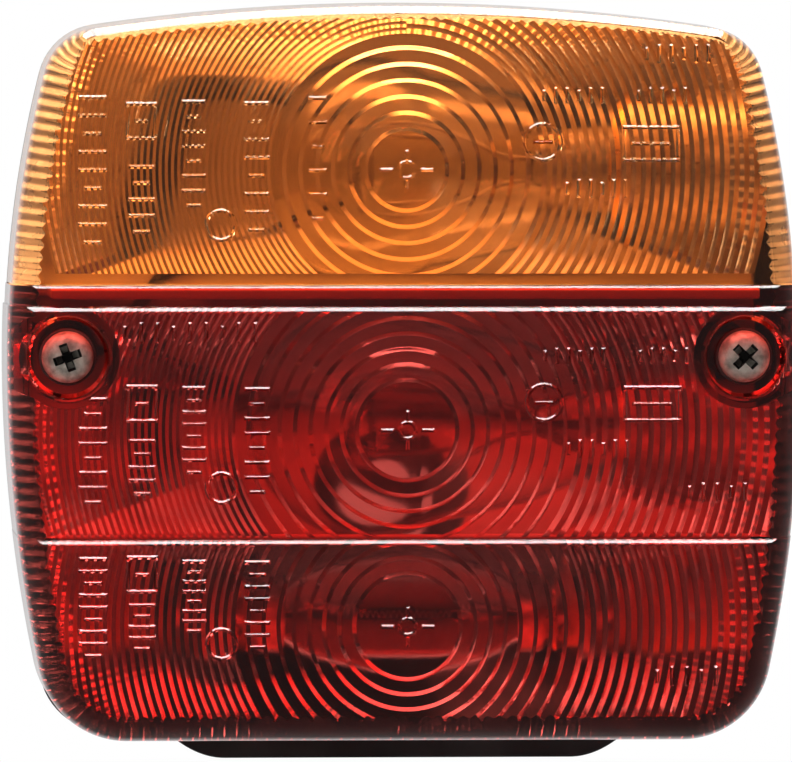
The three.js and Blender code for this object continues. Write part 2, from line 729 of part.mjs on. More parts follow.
function festoonGlass() {
  const wall = 0.6;
  const half = [[5.2, 4], [4.9, 8], [4.2, 10.5], [3.1, 12.2], [3.1, 14.5]];
  const outer = [...[...half].reverse().map(([r, x]) => [r, -x]), ...half];
  const inner = [...outer].reverse().map(([r, x]) => [r - wall, x]);
  return turnedAlongX([...outer, ...inner, outer[0]], TAIL.y, TAIL.z, 20);
}

function festoonCap(side) {
  const { capBore, capRadius, capFrom, coneFrom, tip, tipRadius } = FESTOON;
  const profile = [
    [capBore, capFrom],
    [capRadius, capFrom],
    [capRadius, coneFrom],
    [tipRadius, tip],
    [0, tip],
    [0, tip - 1],
    [capBore, coneFrom],
    [capBore, capFrom],
  ];
  return turnedAlongX(profile.map(([r, x]) => [r, side * x]), TAIL.y, TAIL.z, 20);
}

function festoonFilament() {
  const points = [[-14, 0], [-7, 0.6], [0, 0], [7, 0.6], [14, 0]];
  return wire(0.35, points.map(([x, z]) => [x, TAIL.y, TAIL.z + z]), 12, 6);
}

// A box on one side of the lamp, given by its distances from the middle.
function sideBox(side, [x0, y0, z0], [x1, y1, z1]) {
  const [low, high] = side < 0 ? [-x1, -x0] : [x0, x1];
  return box([low, y0, z0], [high, y1, z1]);
}

function tailBlade(side) {
  const { x0, x1, halfWidth, top, hole } = BLADE;
  const foot = TRAY_FRONT + 1.3;
  const strip = sideBox(side, [x0, TAIL.y - halfWidth, foot], [x1, TAIL.y + halfWidth, top]);
  const bore = [[0, x0 - 1], [hole, x0 - 1], [hole, x1 + 1], [0, x1 + 1]];
  return cut(strip, turnedAlongX(bore.map(([r, x]) => [r, side * x]), TAIL.y, TAIL.z, 20));
}

function tailTerminal(side) {
  const { inner, outer, halfWidth, thick } = TERMINAL;
  const floor = TRAY_FRONT + FACE_JOINT;
  const foot = sideBox(side, [inner, TAIL.y - halfWidth, floor], [outer, TAIL.y + halfWidth, floor + thick]);
  return cut(foot, bar(RIVET.hole, floor - 1, floor + 2, side * TAIL_RIVET, TAIL.y, 12));
}

add("tail_bulb_glass", MATERIALS.glass, festoonGlass());
add("tail_bulb_filament", MATERIALS.tungsten, festoonFilament());
const terminalFace = TRAY_FRONT + TERMINAL.thick + 2 * FACE_JOINT;
for (const [word, side] of SIDES) {
  add(`tail_bulb_cap_${word}`, MATERIALS.steel, festoonCap(side));
  add(`tail_contact_${word}`, MATERIALS.brass, tailBlade(side));
  add(`tail_terminal_${word}`, MATERIALS.brass, tailTerminal(side));
  add(`tail_rivet_${word}`, MATERIALS.steel, rivet(side * TAIL_RIVET, TAIL.y, terminalFace, RIVET.tail));
}

// ---- terminal block and leads -------------------------------------------------------------------

const BLOCK = { x0: -41, y0: -18.6, pitch: 6, ways: 4, depth: 9, z0: TRAY_FRONT + FACE_JOINT, z1: 18 };
const wayX = (i) => BLOCK.x0 + BLOCK.pitch * (i + 0.5);
const wayY = BLOCK.y0 + BLOCK.depth / 2;

function terminalBlock() {
  const { x0, y0, pitch, ways, depth, z0, z1 } = BLOCK;
  const body = box([x0, y0, z0], [x0 + pitch * ways, y0 + depth, z1]);
  const places = Array.from({ length: ways }, (_, i) => wayX(i));
  const wells = places.map((x) => bar(2, 12.9, z1 + 1, x, wayY, 12));
  const grooves = places
    .slice(1)
    .map((x) => x - pitch / 2)
    .map((x) => box([x - 0.4, y0 - 1, z1 - 2], [x + 0.4, y0 + depth + 1, z1 + 1]));
  return cut(body, ...wells, ...grooves);
}

function terminalScrew(i) {
  const slot = box([wayX(i) - 2, wayY - 0.3, 16.5], [wayX(i) + 2, wayY + 0.3, 18]);
  return cut(bar(1.6, 13.2, 17.2, wayX(i), wayY, 14), slot);
}

add("terminal_block", MATERIALS.block, terminalBlock());
for (let i = 0; i < BLOCK.ways; i++) {
  add(`terminal_screw_${i + 1}`, MATERIALS.brass, terminalScrew(i));
}

// Each lead starts at the edge of its way in the block and ends at its contact.
const LEAD_RADIUS = 0.9;
const blockTop = BLOCK.y0 + BLOCK.depth + 0.4;
const blockBottom = BLOCK.y0 - 0.4;
const leadHeight = TRAY_FRONT + LEAD_RADIUS + 0.5;
const holderEnd = FILAMENT_X + HOLDER.end;
const LEADS = {
  indicator_lead: [
    [wayX(0), blockTop, 13],
    [-37.6, -3, 12.4],
    [-36.6, 4, 12],
    [-33.4, 9.4, leadHeight + 0.6],
    [-28, 13.4, leadHeight],
    [-10, 13.6, leadHeight],
    [12, 13.4, leadHeight],
    [30, 14, leadHeight],
    [41, 17.6, 13],
    [43, 22.6, 18],
    [43.4, 26.4, 22.4],
    [holderEnd + 0.4, 26.4, 25],
  ],
  stop_lead: [
    [wayX(1), blockTop, 13],
    [-31, -4, 12.4],
    [-26.6, 2.6, leadHeight],
    [-18, 6, leadHeight],
    [0, 7, leadHeight],
    [24, 6.6, leadHeight],
    [33.6, 4, leadHeight],
    [38.6, 0.6, 12],
    [41.6, -4, 14.4],
    [43.2, -6.8, 18],
    [43.4, -7.4, 22.4],
    [holderEnd + 0.4, -7, 25],
  ],
  tail_lead: [
    [wayX(2), blockBottom, 12.6],
    [-26, -21.4, 12.2],
    [-26.2, -24.4, leadHeight],
    [-26.6, -27.4, leadHeight - 0.3],
  ],
  earth_lead: [
    [wayX(3), blockTop, 13],
    [-19.6, -7.4, 12.6],
    [-16.4, -5.8, 11.6],
    [-10, -5.6, leadHeight],
    [8, -6.6, leadHeight],
    [BRACKET.left - 0.4, -7, leadHeight],
  ],
};
for (const [name, points] of Object.entries(LEADS)) {
  const material = name === "earth_lead" ? MATERIALS.leadBrown : MATERIALS.leadBlack;
  add(name, material, wire(LEAD_RADIUS, points, 2 * points.length, 8));
}

// ---- mounting bolts, washers and nuts -----------------------------------------------------------

function mountingBolt(x) {
  const { radius, behind, head, acrossFlats } = BOLT;
  const seat = BOLT_SEAT + FACE_JOINT;
  const shank = [[0, -behind], [radius - 0.6, -behind], [radius, 0.8 - behind], [radius, seat + 1], [0, seat + 1]];
  return join(hexagon(acrossFlats, seat, seat + head, x, 0), turned(shank, x, 0));
}

function mountingWasher(x) {
  const { from, thick, outer, hole } = WASHER;
  return cut(bar(outer, -from - thick, -from, x, 0), bar(hole, -10, 0, x, 0));
}

function mountingNut(x) {
  const front = -WASHER.from - WASHER.thick - FACE_JOINT;
  return cut(hexagon(BOLT.acrossFlats, front - NUT_HEIGHT, front, x, 0), bar(BOLT.radius + 0.2, -20, 0, x, 0));
}

for (const [word, side] of SIDES) {
  const x = (side * BOLT.spacing) / 2;
  add(`${word}_mounting_bolt`, MATERIALS.steel, mountingBolt(x));
  add(`${word}_mounting_washer`, MATERIALS.steel, mountingWasher(x));
  add(`${word}_mounting_nut`, MATERIALS.steel, mountingNut(x));
}

// Lamp space has the viewer on +z and up on +y: this turn puts up on +Z and the viewer on -Y.
lamp.rotation.x = Math.PI / 2;

export default lamp;
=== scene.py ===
"""A square rear lamp for trailers, seen from the front: a two-colour lens with ring optics on a black
housing. Shapes are made in lamp space: x to the right, y up and z out of the panel, in millimetres,
with z = 0 on the housing's back face. place() turns a finished piece into the frame."""

import json
import math

import bmesh
import bpy
from mathutils import Matrix, Vector

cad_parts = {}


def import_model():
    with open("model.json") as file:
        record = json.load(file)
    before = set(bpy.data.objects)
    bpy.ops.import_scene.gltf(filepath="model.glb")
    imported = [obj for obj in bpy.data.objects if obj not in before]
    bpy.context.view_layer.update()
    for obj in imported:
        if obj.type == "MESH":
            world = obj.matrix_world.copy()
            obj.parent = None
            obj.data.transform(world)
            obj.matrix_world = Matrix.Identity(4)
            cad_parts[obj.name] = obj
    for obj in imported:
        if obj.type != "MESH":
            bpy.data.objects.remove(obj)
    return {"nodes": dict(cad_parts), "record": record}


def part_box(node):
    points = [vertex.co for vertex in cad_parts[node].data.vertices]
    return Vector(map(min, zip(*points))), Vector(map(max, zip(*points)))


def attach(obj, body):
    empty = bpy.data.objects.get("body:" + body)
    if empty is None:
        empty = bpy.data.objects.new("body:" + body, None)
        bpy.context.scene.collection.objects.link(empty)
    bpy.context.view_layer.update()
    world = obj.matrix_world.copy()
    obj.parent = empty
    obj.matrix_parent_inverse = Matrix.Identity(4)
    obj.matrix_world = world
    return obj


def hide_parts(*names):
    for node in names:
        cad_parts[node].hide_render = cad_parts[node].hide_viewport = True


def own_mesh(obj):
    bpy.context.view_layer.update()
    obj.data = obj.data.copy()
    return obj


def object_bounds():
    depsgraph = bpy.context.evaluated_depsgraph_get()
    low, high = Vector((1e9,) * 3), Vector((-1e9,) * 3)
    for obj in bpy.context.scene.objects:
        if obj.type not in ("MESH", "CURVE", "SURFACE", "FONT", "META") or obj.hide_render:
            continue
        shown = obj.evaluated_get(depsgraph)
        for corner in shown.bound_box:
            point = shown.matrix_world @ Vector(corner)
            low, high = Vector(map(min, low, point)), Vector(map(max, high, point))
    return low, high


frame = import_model()
cad_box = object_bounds()

MM = 0.001
TO_FRAME = Matrix(((MM, 0, 0, 0), (0, 0, -MM, 0), (0, MM, 0, 0), (0, 0, 0, 1)))

# ---- places taken from the frame ----------------------------------------------------------------


def lamp_box(node):
    """(lowest, highest) corner of a CAD node in lamp space."""
    low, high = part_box(node)
    return (
        Vector((low.x / MM, low.z / MM, -high.y / MM)),
        Vector((high.x / MM, high.z / MM, -low.y / MM)),
    )


HOUSING_LOW, HOUSING_HIGH = lamp_box("housing")
RED_LOW, RED_HIGH = lamp_box("red_lens")
AMBER_LOW, AMBER_HIGH = lamp_box("amber_lens")
HALF_WIDTH = HOUSING_HIGH.x
TOP_Y = HOUSING_HIGH.y
BOTTOM_Y = RED_LOW.y
HOUSING_DEPTH = 19.0
LENS_BACK = RED_LOW.z
MARK_HEIGHT = 0.2
TAIL_FRONT = RED_HIGH.z - MARK_HEIGHT
AMBER_FRONT = AMBER_HIGH.z
COLOUR_JOINT_Y = AMBER_LOW.y

# ---- outline ------------------------------------------------------------------------------------

WIDEST_Y = 2
TOP_RADIUS = 283
UPPER_SIDE_RADIUS = 153
LOWER_SIDE_RADIUS = 200
UPPER_CORNER = 8.8
LENS_LOWER_CORNER = 12.5
HOUSING_LOWER_CORNER = 9.5


def circles_meet(a, ra, b, rb):
    """Where two circles meet, on the side of larger x."""
    between = b - a
    apart = between.length
    along = (ra * ra - rb * rb + apart * apart) / (2 * apart)
    across = math.sqrt(ra * ra - along * along)
    unit = between.normalized()
    foot = a + unit * along
    side = Vector((-unit.y, unit.x)) * across
    return max(foot + side, foot - side, key=lambda p: p.x)


def outline_arcs(lower_corner):
    """The right half of the outline as (centre, radius, from, to), from the bottom to the top."""
    top = Vector((0, TOP_Y - TOP_RADIUS))
    upper = Vector((HALF_WIDTH - UPPER_SIDE_RADIUS, WIDEST_Y))
    lower = Vector((HALF_WIDTH - LOWER_SIDE_RADIUS, WIDEST_Y))
    upper_corner = circles_meet(
        top, TOP_RADIUS - UPPER_CORNER, upper, UPPER_SIDE_RADIUS - UPPER_CORNER
    )
    corner_y = BOTTOM_Y + lower_corner
    reach = LOWER_SIDE_RADIUS - lower_corner
    corner_x = lower.x + math.sqrt(reach**2 - (corner_y - WIDEST_Y) ** 2)
    bottom_corner = Vector((corner_x, corner_y))
    low_turn = math.atan2(bottom_corner.y - lower.y, bottom_corner.x - lower.x)
    high_turn = math.atan2(upper_corner.y - upper.y, upper_corner.x - upper.x)
    top_turn = math.atan2(upper_corner.y - top.y, upper_corner.x - top.x)
    return [
        (bottom_corner, lower_corner, -math.pi / 2, low_turn),
        (lower, LOWER_SIDE_RADIUS, low_turn, 0),
        (upper, UPPER_SIDE_RADIUS, 0, high_turn),
        (upper_corner, UPPER_CORNER, high_turn, top_turn),
        (top, TOP_RADIUS, top_turn, math.pi / 2),
    ]


def outline(inset, lower_corner, spacing, top_inset, share=0, wave=None):
    """The outline moved in by inset, and at the top by top_inset, anticlockwise from the bottom. A
    share of wave(s) moves it in further at the distance s along the edge. Outlines of one spacing
    and corner have matching points."""
    right = [(0.0, BOTTOM_Y, 0.0, -1.0)]
    arcs = outline_arcs(lower_corner)
    start = arcs[0][0].x
    for i in range(1, max(2, round(start / spacing))):
        right.append((start * i / max(2, round(start / spacing)), BOTTOM_Y, 0.0, -1.0))
    for centre, radius, a0, a1 in arcs:
        steps = max(2, round(radius * (a1 - a0) / spacing))
        for i in range(steps):
            turn = a0 + (a1 - a0) * i / steps
            c, s = math.cos(turn), math.sin(turn)
            right.append((centre.x + radius * c, centre.y + radius * s, c, s))
    top = [(0.0, TOP_Y, 0.0, 1.0)]
    left = [(-x, y, -c, s) for x, y, c, s in reversed(right[1:])]
    loop = right + top + left
    points, walked, last = [], 0.0, None
    for x, y, c, s in loop:
        if last:
            walked += math.hypot(x - last[0], y - last[1])
        last = (x, y)
        move = inset + (top_inset - inset) * max(0.0, s) ** 4 + (share * wave(walked) if share else 0)
        points.append((x - c * move, y - s * move))
    return points


# ---- making meshes ------------------------------------------------------------------------------


def new_object(name, verts, faces):
    mesh = bpy.data.meshes.new(name)
    mesh.from_pydata([tuple(v) for v in verts], [], faces)
    mesh.validate()
    obj = bpy.data.objects.new(name, mesh)
    bpy.context.scene.collection.objects.link(obj)
    work = bmesh.new()
    work.from_mesh(mesh)
    bmesh.ops.recalc_face_normals(work, faces=work.faces)
    work.to_mesh(mesh)
    work.free()
    return obj


def loft(rings):
    """A closed solid through rings of matching 3-D points."""
    count = len(rings[0])
    verts = [p for ring in rings for p in ring]
    faces = [list(range(count))[::-1], list(range((len(rings) - 1) * count, len(rings) * count))]
    for level in range(len(rings) - 1):
        a, b = level * count, (level + 1) * count
        for i in range(count):
            j = (i + 1) % count
            faces.append((a + i, a + j, b + j, b + i))
    return new_object("loft", verts, faces)


def outline_solid(levels, lower_corner, spacing=1.0, wave=None):
    """A solid through outlines at levels of (z, inset) or (z, inset, inset at the top, share of the
    wave)."""
    rings = []
    for z, inset, *rest in levels:
        top, share = rest if rest else (inset, 0)
        points = outline(inset, lower_corner, spacing, top, share, wave)
        rings.append([(x, y, z) for x, y in points])
    return loft(rings)


def box(low, high):
    (x0, y0, z0), (x1, y1, z1) = low, high
    low_ring = [(x0, y0, z0), (x1, y0, z0), (x1, y1, z0), (x0, y1, z0)]
    high_ring = [(x, y, z1) for x, y, _ in low_ring]
    return loft([low_ring, high_ring])


AXES = {
    "x": lambda r, t, c, s, at: (t, at[1] + r * c, at[2] + r * s),
    "y": lambda r, t, c, s, at: (at[0] + r * s, t, at[2] + r * c),
    "z": lambda r, t, c, s, at: (at[0] + r * c, at[1] + r * s, t),
}


def lathe(profile, at=(0, 0, 0), axis="z", sides=64):
    """A closed solid from (radius, distance) pairs turned about an axis through at. The profile
    starts and ends on the axis, or is closed on itself."""
    spin = AXES[axis]
    closed = profile[0] == profile[-1]
    path = profile[:-1] if closed else profile
    verts, rows = [], []
    for r, t in path:
        if r == 0:
            rows.append([len(verts)] * sides)
            verts.append(spin(0, t, 1, 0, at))
            continue
        rows.append(list(range(len(verts), len(verts) + sides)))
        for i in range(sides):
            turn = 2 * math.pi * i / sides
            verts.append(spin(r, t, math.cos(turn), math.sin(turn), at))
    faces = []
    pairs = list(zip(rows, rows[1:])) + ([(rows[-1], rows[0])] if closed else [])
    for low, high in pairs:
        for i in range(sides):
            j = (i + 1) % sides
            corners = dict.fromkeys((low[i], low[j], high[j], high[i]))
            if len(corners) > 2:
                faces.append(tuple(corners))
    return new_object("lathe", verts, faces)


def bar(radius, z0, z1, at=(0, 0), sides=48):
    return lathe([(0, z0), (radius, z0), (radius, z1), (0, z1)], (at[0], at[1], 0), "z", sides)


def drawn_out(points, low, high, axis="z"):
    """A flat shape drawn out along an axis. Its points are (x, y), (x, z) for axis y, (y, z) for x."""
    turn = {
        "z": lambda p, d: (p[0], p[1], d),
        "y": lambda p, d: (p[0], d, p[1]),
        "x": lambda p, d: (d, p[0], p[1]),
    }[axis]
    return loft([[turn(p, low) for p in points], [turn(p, high) for p in points]])


def applied(obj):
    """Applies the object's modifiers."""
    graph = bpy.context.evaluated_depsgraph_get()
    mesh = bpy.data.meshes.new_from_object(obj.evaluated_get(graph))
    obj.modifiers.clear()
    old = obj.data
    obj.data = mesh
    bpy.data.meshes.remove(old)
    return obj


def boolean(obj, others, operation):
    for other in others:
        tool = obj.modifiers.new("tool", "BOOLEAN")
        tool.operation = operation
        tool.solver = "MANIFOLD"
        tool.object = other
        applied(obj)
        bpy.data.objects.remove(other)
    return obj


def join(obj, *others):
    return boolean(obj, others, "UNION")


def cut(obj, *others):
    return boolean(obj, others, "DIFFERENCE")


def common(obj, other):
    return boolean(obj, [other], "INTERSECT")


def copy(obj):
    twin = bpy.data.objects.new(obj.name, obj.data.copy())
    bpy.context.scene.collection.objects.link(twin)
    return twin


def bevel(obj, width, segments=2, angle=30):
    edge = obj.modifiers.new("edge", "BEVEL")
    edge.width = width
    edge.segments = segments
    edge.limit_method = "ANGLE"
    edge.angle_limit = math.radians(angle)
    edge.use_clamp_overlap = True
    return applied(obj)


def rounded(points, radius, closed=False, steps=3):
    """The points with each corner eased over about radius. An open run keeps its ends."""
    out = []
    last = len(points) - 1
    for i, point in enumerate(points):
        if not closed and i in (0, last):
            out.append(tuple(point))
            continue
        before, here, after = (Vector(points[j % len(points)]) for j in (i - 1, i, i + 1))
        reach = min(radius, (before - here).length / 2.2, (after - here).length / 2.2)
        start = here + (before - here).normalized() * reach
        end = here + (after - here).normalized() * reach
        for k in range(steps + 1):
            t = k / steps
            out.append(tuple(start * (1 - t) ** 2 + here * 2 * t * (1 - t) + end * t * t))
    return out


def eased_ring(profile, radius, at=(0, 0, 0), axis="z", sides=64):
    """A ring of a closed section with eased corners, turned about an axis."""
    points = rounded(profile, radius, closed=True)
    return lathe(points + [points[0]], at, axis, sides)


def eased_bar(profile, radius, at=(0, 0, 0), axis="z", sides=64):
    """A solid of revolution whose section starts and ends on the axis, with eased corners."""
    return lathe(rounded(profile, radius), at, axis, sides)


def smooth_path(points, steps=6):
    """A Catmull-Rom curve through the points."""
    points = [Vector(p) for p in points]
    ends = [points[0] * 2 - points[1]] + points + [points[-1] * 2 - points[-2]]
    out = []
    for a, b, c, d in zip(ends, ends[1:], ends[2:], ends[3:]):
        for k in range(steps):
            t = k / steps
            square = (a * 2 - b * 5 + c * 4 - d) * t**2
            cube = (b * 3 - a - c * 3 + d) * t**3
            out.append((b * 2 + (c - a) * t + square + cube) / 2)
    return out + [points[-1]]


def wire(points, radius, sides=14):
    """A round wire along the points, with flat ends."""
    points = [Vector(p) for p in points]
    along = (points[1] - points[0]).normalized()
    up = along.orthogonal().normalized()
    rings = []
    for i, point in enumerate(points):
        before, after = points[max(i - 1, 0)], points[min(i + 1, len(points) - 1)]
        along = (after - before).normalized()
        up = (up - along * up.dot(along)).normalized()
        side = along.cross(up)
        turns = [2 * math.pi * k / sides for k in range(sides)]
        rings.append([tuple(point + (up * math.cos(t) + side * math.sin(t)) * radius) for t in turns])
    return loft(rings)


def coil(start, end, first, last, turns, steps_a_turn=24):
    """Points of a helix along x, from start to end, its radius going from first to last."""
    (x0, y, z), x1 = start, end
    count = round(turns * steps_a_turn)
    out = []
    for i in range(count + 1):
        share = i / count
        angle = share * turns * 2 * math.pi
        radius = first + (last - first) * share
        out.append((x0 + (x1 - x0) * share, y + radius * math.cos(angle), z + radius * math.sin(angle)))
    return out


def threaded_bar(radius, depth, pitch, z0, z1, at, sides=40, rows=6):
    """A bar with a helical thread between two heights."""
    count = round((z1 - z0) / pitch * rows)
    rings = []
    for row in range(count + 1):
        z = z0 + (z1 - z0) * row / count
        ring = []
        for i in range(sides):
            phase = ((z - z0) / pitch - i / sides) % 1
            groove = depth * abs(2 * phase - 1) ** 0.8
            r = radius - groove
            turn = 2 * math.pi * i / sides
            ring.append((at[0] + r * math.cos(turn), at[1] + r * math.sin(turn), z))
        rings.append(ring)
    return loft(rings)


def hexagon(across_flats, z0, z1, at, chamfer=0.5):
    """A hexagonal prism, its corners turned off at both ends."""
    corner = across_flats / math.sqrt(3)
    points = [
        (at[0] + corner * math.cos(math.radians(60 * i)), at[1] + corner * math.sin(math.radians(60 * i)))
        for i in range(6)
    ]
    body = drawn_out(points, z0, z1)
    low = (z0, z0 + chamfer)
    high = (z1 - chamfer, z1)
    limit = lathe(
        [
            (0, low[0]),
            (across_flats / 2 - 0.1, low[0]),
            (corner + 0.1, low[1]),
            (corner + 0.1, high[0]),
            (across_flats / 2 - 0.1, high[1]),
            (0, high[1]),
        ],
        (*at, 0),
    )
    return bevel(common(body, limit), 0.12)


def eased_box(low, high, radius, segments=3):
    return bevel(box(low, high), radius, segments)


def centre_of(node):
    low, high = lamp_box(node)
    return (low + high) / 2


def gridded(obj, pitch=1.5, reach=51):
    """Cuts the faces that look straight out of the front into small squares, so that no mark lies
    wholly inside one of them."""
    work = bmesh.new()
    work.from_mesh(obj.data)
    faces = [f for f in work.faces if f.normal.z > 0.9999 and f.calc_area() > pitch**2]
    geom = set(faces)
    for face in faces:
        geom.update(face.edges)
        geom.update(face.verts)
    geom = list(geom)
    for normal in ((1, 0, 0), (0, 1, 0)):
        steps = int(reach / pitch)
        for i in range(-steps, steps + 1):
            at = Vector(normal) * (i * pitch + 0.037)
            geom = bmesh.ops.bisect_plane(work, geom=geom, plane_co=at, plane_no=normal)["geom"]
    work.to_mesh(obj.data)
    work.free()
    return obj


def badly_filled(mesh, worst=0.02):
    """The indices of faces whose triangles don't add up to their area, in mm2, as happens to a face
    left by a boolean with other outlines inside it."""
    mesh.calc_loop_triangles()
    filled = [0.0] * len(mesh.polygons)
    for triangle in mesh.loop_triangles:
        filled[triangle.polygon_index] += triangle.area
    return [face.index for face in mesh.polygons if filled[face.index] > face.area + worst]


def mend(obj):
    """Fills badly filled faces afresh from their edges, and drops faces that lie back to back."""
    bad = badly_filled(obj.data)
    work = bmesh.new()
    work.from_mesh(obj.data)
    work.faces.ensure_lookup_table()
    for face in [work.faces[i] for i in bad]:
        normal = face.normal.copy()
        rim = [e for e in face.edges if sum(loop.face == face for loop in e.link_loops) == 1]
        bmesh.ops.delete(work, geom=[face], context="FACES_ONLY")
        made = bmesh.ops.triangle_fill(work, use_beauty=True, edges=rim, normal=normal)["geom"]
        for each in made:
            if isinstance(each, bmesh.types.BMFace) and each.normal.dot(normal) < 0:
                each.normal_flip()
    alike = {}
    for face in work.faces:
        alike.setdefault(frozenset(face.verts), []).append(face)
    twins = [face for faces in alike.values() if len(faces) > 1 for face in faces]
    bmesh.ops.delete(work, geom=twins, context="FACES")
    loose = [e for e in work.edges if not e.link_faces]
    bmesh.ops.delete(work, geom=loose, context="EDGES")
    work.to_mesh(obj.data)
    work.free()


def place(obj, name, material, body, replaces=(), sharp=35, others=()):
    """Turns a piece made in lamp space into the frame and says what it stands for. others are
    further materials, each with a test of a face's middle and normal that says where it goes."""
    mend(obj)
    obj.name = name
    obj.data.name = name
    indices = []
    for face in obj.data.polygons:
        matches = [i for i, (_, test) in enumerate(others) if test(face.center, face.normal)]
        indices.append(matches[0] + 1 if matches else 0)
    obj.data.transform(TO_FRAME)
    obj.data.materials.clear()
    for each in (material, *(other for other, _ in others)):
        obj.data.materials.append(each)
    for face, index in zip(obj.data.polygons, indices):
        face.use_smooth = True
        face.material_index = index
    obj.data.set_sharp_from_angle(angle=math.radians(sharp))
    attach(obj, body)
    if replaces:
        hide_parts(*replaces)
    return obj


# ---- materials ----------------------------------------------------------------------------------


class Nodes:
    """A material's node tree, with short calls for what the materials below share."""

    def __init__(self, name):
        self.material = bpy.data.materials.new(name)
        self.material.use_nodes = True
        self.tree = self.material.node_tree
        self.tree.nodes.clear()
        self.output = self.add("OutputMaterial")
        self.shader = self.add("BsdfPrincipled")
        self.link(self.shader.outputs[0], self.output.inputs["Surface"])
        self.place = self.add("TexCoord").outputs["Object"]

    def add(self, kind, **values):
        node = self.tree.nodes.new("ShaderNode" + kind)
        for key, value in values.items():
            setattr(node, key, value)
        return node

    def link(self, source, target):
        self.tree.links.new(source, target)

    def set(self, **values):
        for key, value in values.items():
            self.shader.inputs[key.replace("_", " ")].default_value = value

    def noise(self, scale, detail=4.0, rough=0.55, stretch=None):
        """Noise with features of about 1 / scale metres."""
        node = self.add("TexNoise")
        node.inputs["Scale"].default_value = scale
        node.inputs["Detail"].default_value = detail
        node.inputs["Roughness"].default_value = rough
        source = self.place
        if stretch:
            mapping = self.add("Mapping")
            mapping.inputs["Scale"].default_value = stretch
            self.link(source, mapping.inputs["Vector"])
            source = mapping.outputs[0]
        self.link(source, node.inputs["Vector"])
        return node.outputs["Fac"]

    def ramp(self, fac, low, high, start=0.35, end=0.65):
        """A value or colour from low to high as fac goes from start to end."""
        node = self.add("MapRange" if not isinstance(low, tuple) else "Mix")
        if not isinstance(low, tuple):
            for key, value in (("From Min", start), ("From Max", end), ("To Min", low), ("To Max", high)):
                node.inputs[key].default_value = value
            self.link(fac, node.inputs["Value"])
            return node.outputs["Result"]
        node.data_type = "RGBA"
        node.inputs["A"].default_value = (*low, 1)
        node.inputs["B"].default_value = (*high, 1)
        self.link(self.ramp(fac, 0.0, 1.0, start, end), node.inputs["Factor"])
        return node.outputs["Result"]

    def bump(self, height, strength, distance):
        node = self.add("Bump")
        node.inputs["Strength"].default_value = strength
        node.inputs["Distance"].default_value = distance
        self.link(height, node.inputs["Height"])
        self.link(node.outputs[0], self.shader.inputs["Normal"])


def solid_material(
    name, low, high, rough, metallic=0.0, grain=2500, depth=0.00002, patch=120, specular=0.5
):
    """An opaque material: colour in soft patches from low to high, roughness that varies with them,
    and a fine grain of the given depth in metres."""
    nodes = Nodes(name)
    nodes.set(Metallic=metallic, Specular_IOR_Level=specular)
    nodes.link(nodes.ramp(nodes.noise(patch), low, high), nodes.shader.inputs["Base Color"])
    nodes.link(
        nodes.ramp(nodes.noise(patch * 2.3), rough[0], rough[1], 0.3, 0.7),
        nodes.shader.inputs["Roughness"],
    )
    nodes.bump(nodes.noise(grain, 3.0), 0.6, depth)
    return nodes


def see_through(name, colour, light, ior, rough=(0.02, 0.06)):
    """Clear coloured plastic or glass. Lamps' light passes it straight, tinted by light."""
    nodes = Nodes(name)
    nodes.set(Base_Color=(*colour, 1), IOR=ior, Transmission_Weight=1.0)
    nodes.link(
        nodes.ramp(nodes.noise(260), rough[0], rough[1]), nodes.shader.inputs["Roughness"]
    )
    clear = nodes.add("BsdfTransparent")
    clear.inputs["Color"].default_value = (*light, 1)
    mix = nodes.add("MixShader")
    nodes.link(nodes.add("LightPath").outputs["Is Shadow Ray"], mix.inputs["Fac"])
    nodes.link(nodes.shader.outputs[0], mix.inputs[1])
    nodes.link(clear.outputs[0], mix.inputs[2])
    nodes.link(mix.outputs[0], nodes.output.inputs["Surface"])
    return nodes


# Greys by height that paint shade in the lowest chamber and the middle chamber's upper part, and light in
# the middle chamber's lower part and on the upper divider's top.
TRAY_PAINTED_SHADE_AND_LIGHT = (  # height in the frame in metres, grey
    (-0.03, 0.015),
    (-0.0214, 0.015),
    (-0.0206, 0.5),
    (-0.013, 0.9),
    (-0.002, 0.18),
    (0.01095, 0.17),
    (0.01108, 0.8),
    (0.014, 0.3),
    (0.045, 0.3),
)


def tray_with_painted_shade():
    """Tray plastic with light and shade painted into its grey by height: painted shade in the lowest
    chamber and under the upper divider, painted light in the middle chamber's lower half and on the
    dividers' upper sides.
    """
    nodes = Nodes("tray_plastic")
    height = nodes.add("SeparateXYZ")
    nodes.link(nodes.place, height.inputs[0])
    low, high = TRAY_PAINTED_SHADE_AND_LIGHT[0][0], TRAY_PAINTED_SHADE_AND_LIGHT[-1][0]
    painted_shades = nodes.add("ValToRGB")
    for i, (at, grey) in enumerate(TRAY_PAINTED_SHADE_AND_LIGHT):
        stops = painted_shades.color_ramp.elements
        stop = stops[0] if i == 0 else stops.new((at - low) / (high - low) * 0.999)
        stop.color = (grey, grey, grey * 0.97, 1)
    nodes.link(nodes.ramp(height.outputs["Z"], 0.0, 1.0, low, high), painted_shades.inputs["Fac"])
    nodes.link(painted_shades.outputs["Color"], nodes.shader.inputs["Base Color"])
    nodes.link(nodes.ramp(nodes.noise(300), 0.4, 0.55), nodes.shader.inputs["Roughness"])
    nodes.bump(nodes.noise(2500, 3.0), 0.6, 0.00002)
    return nodes.material


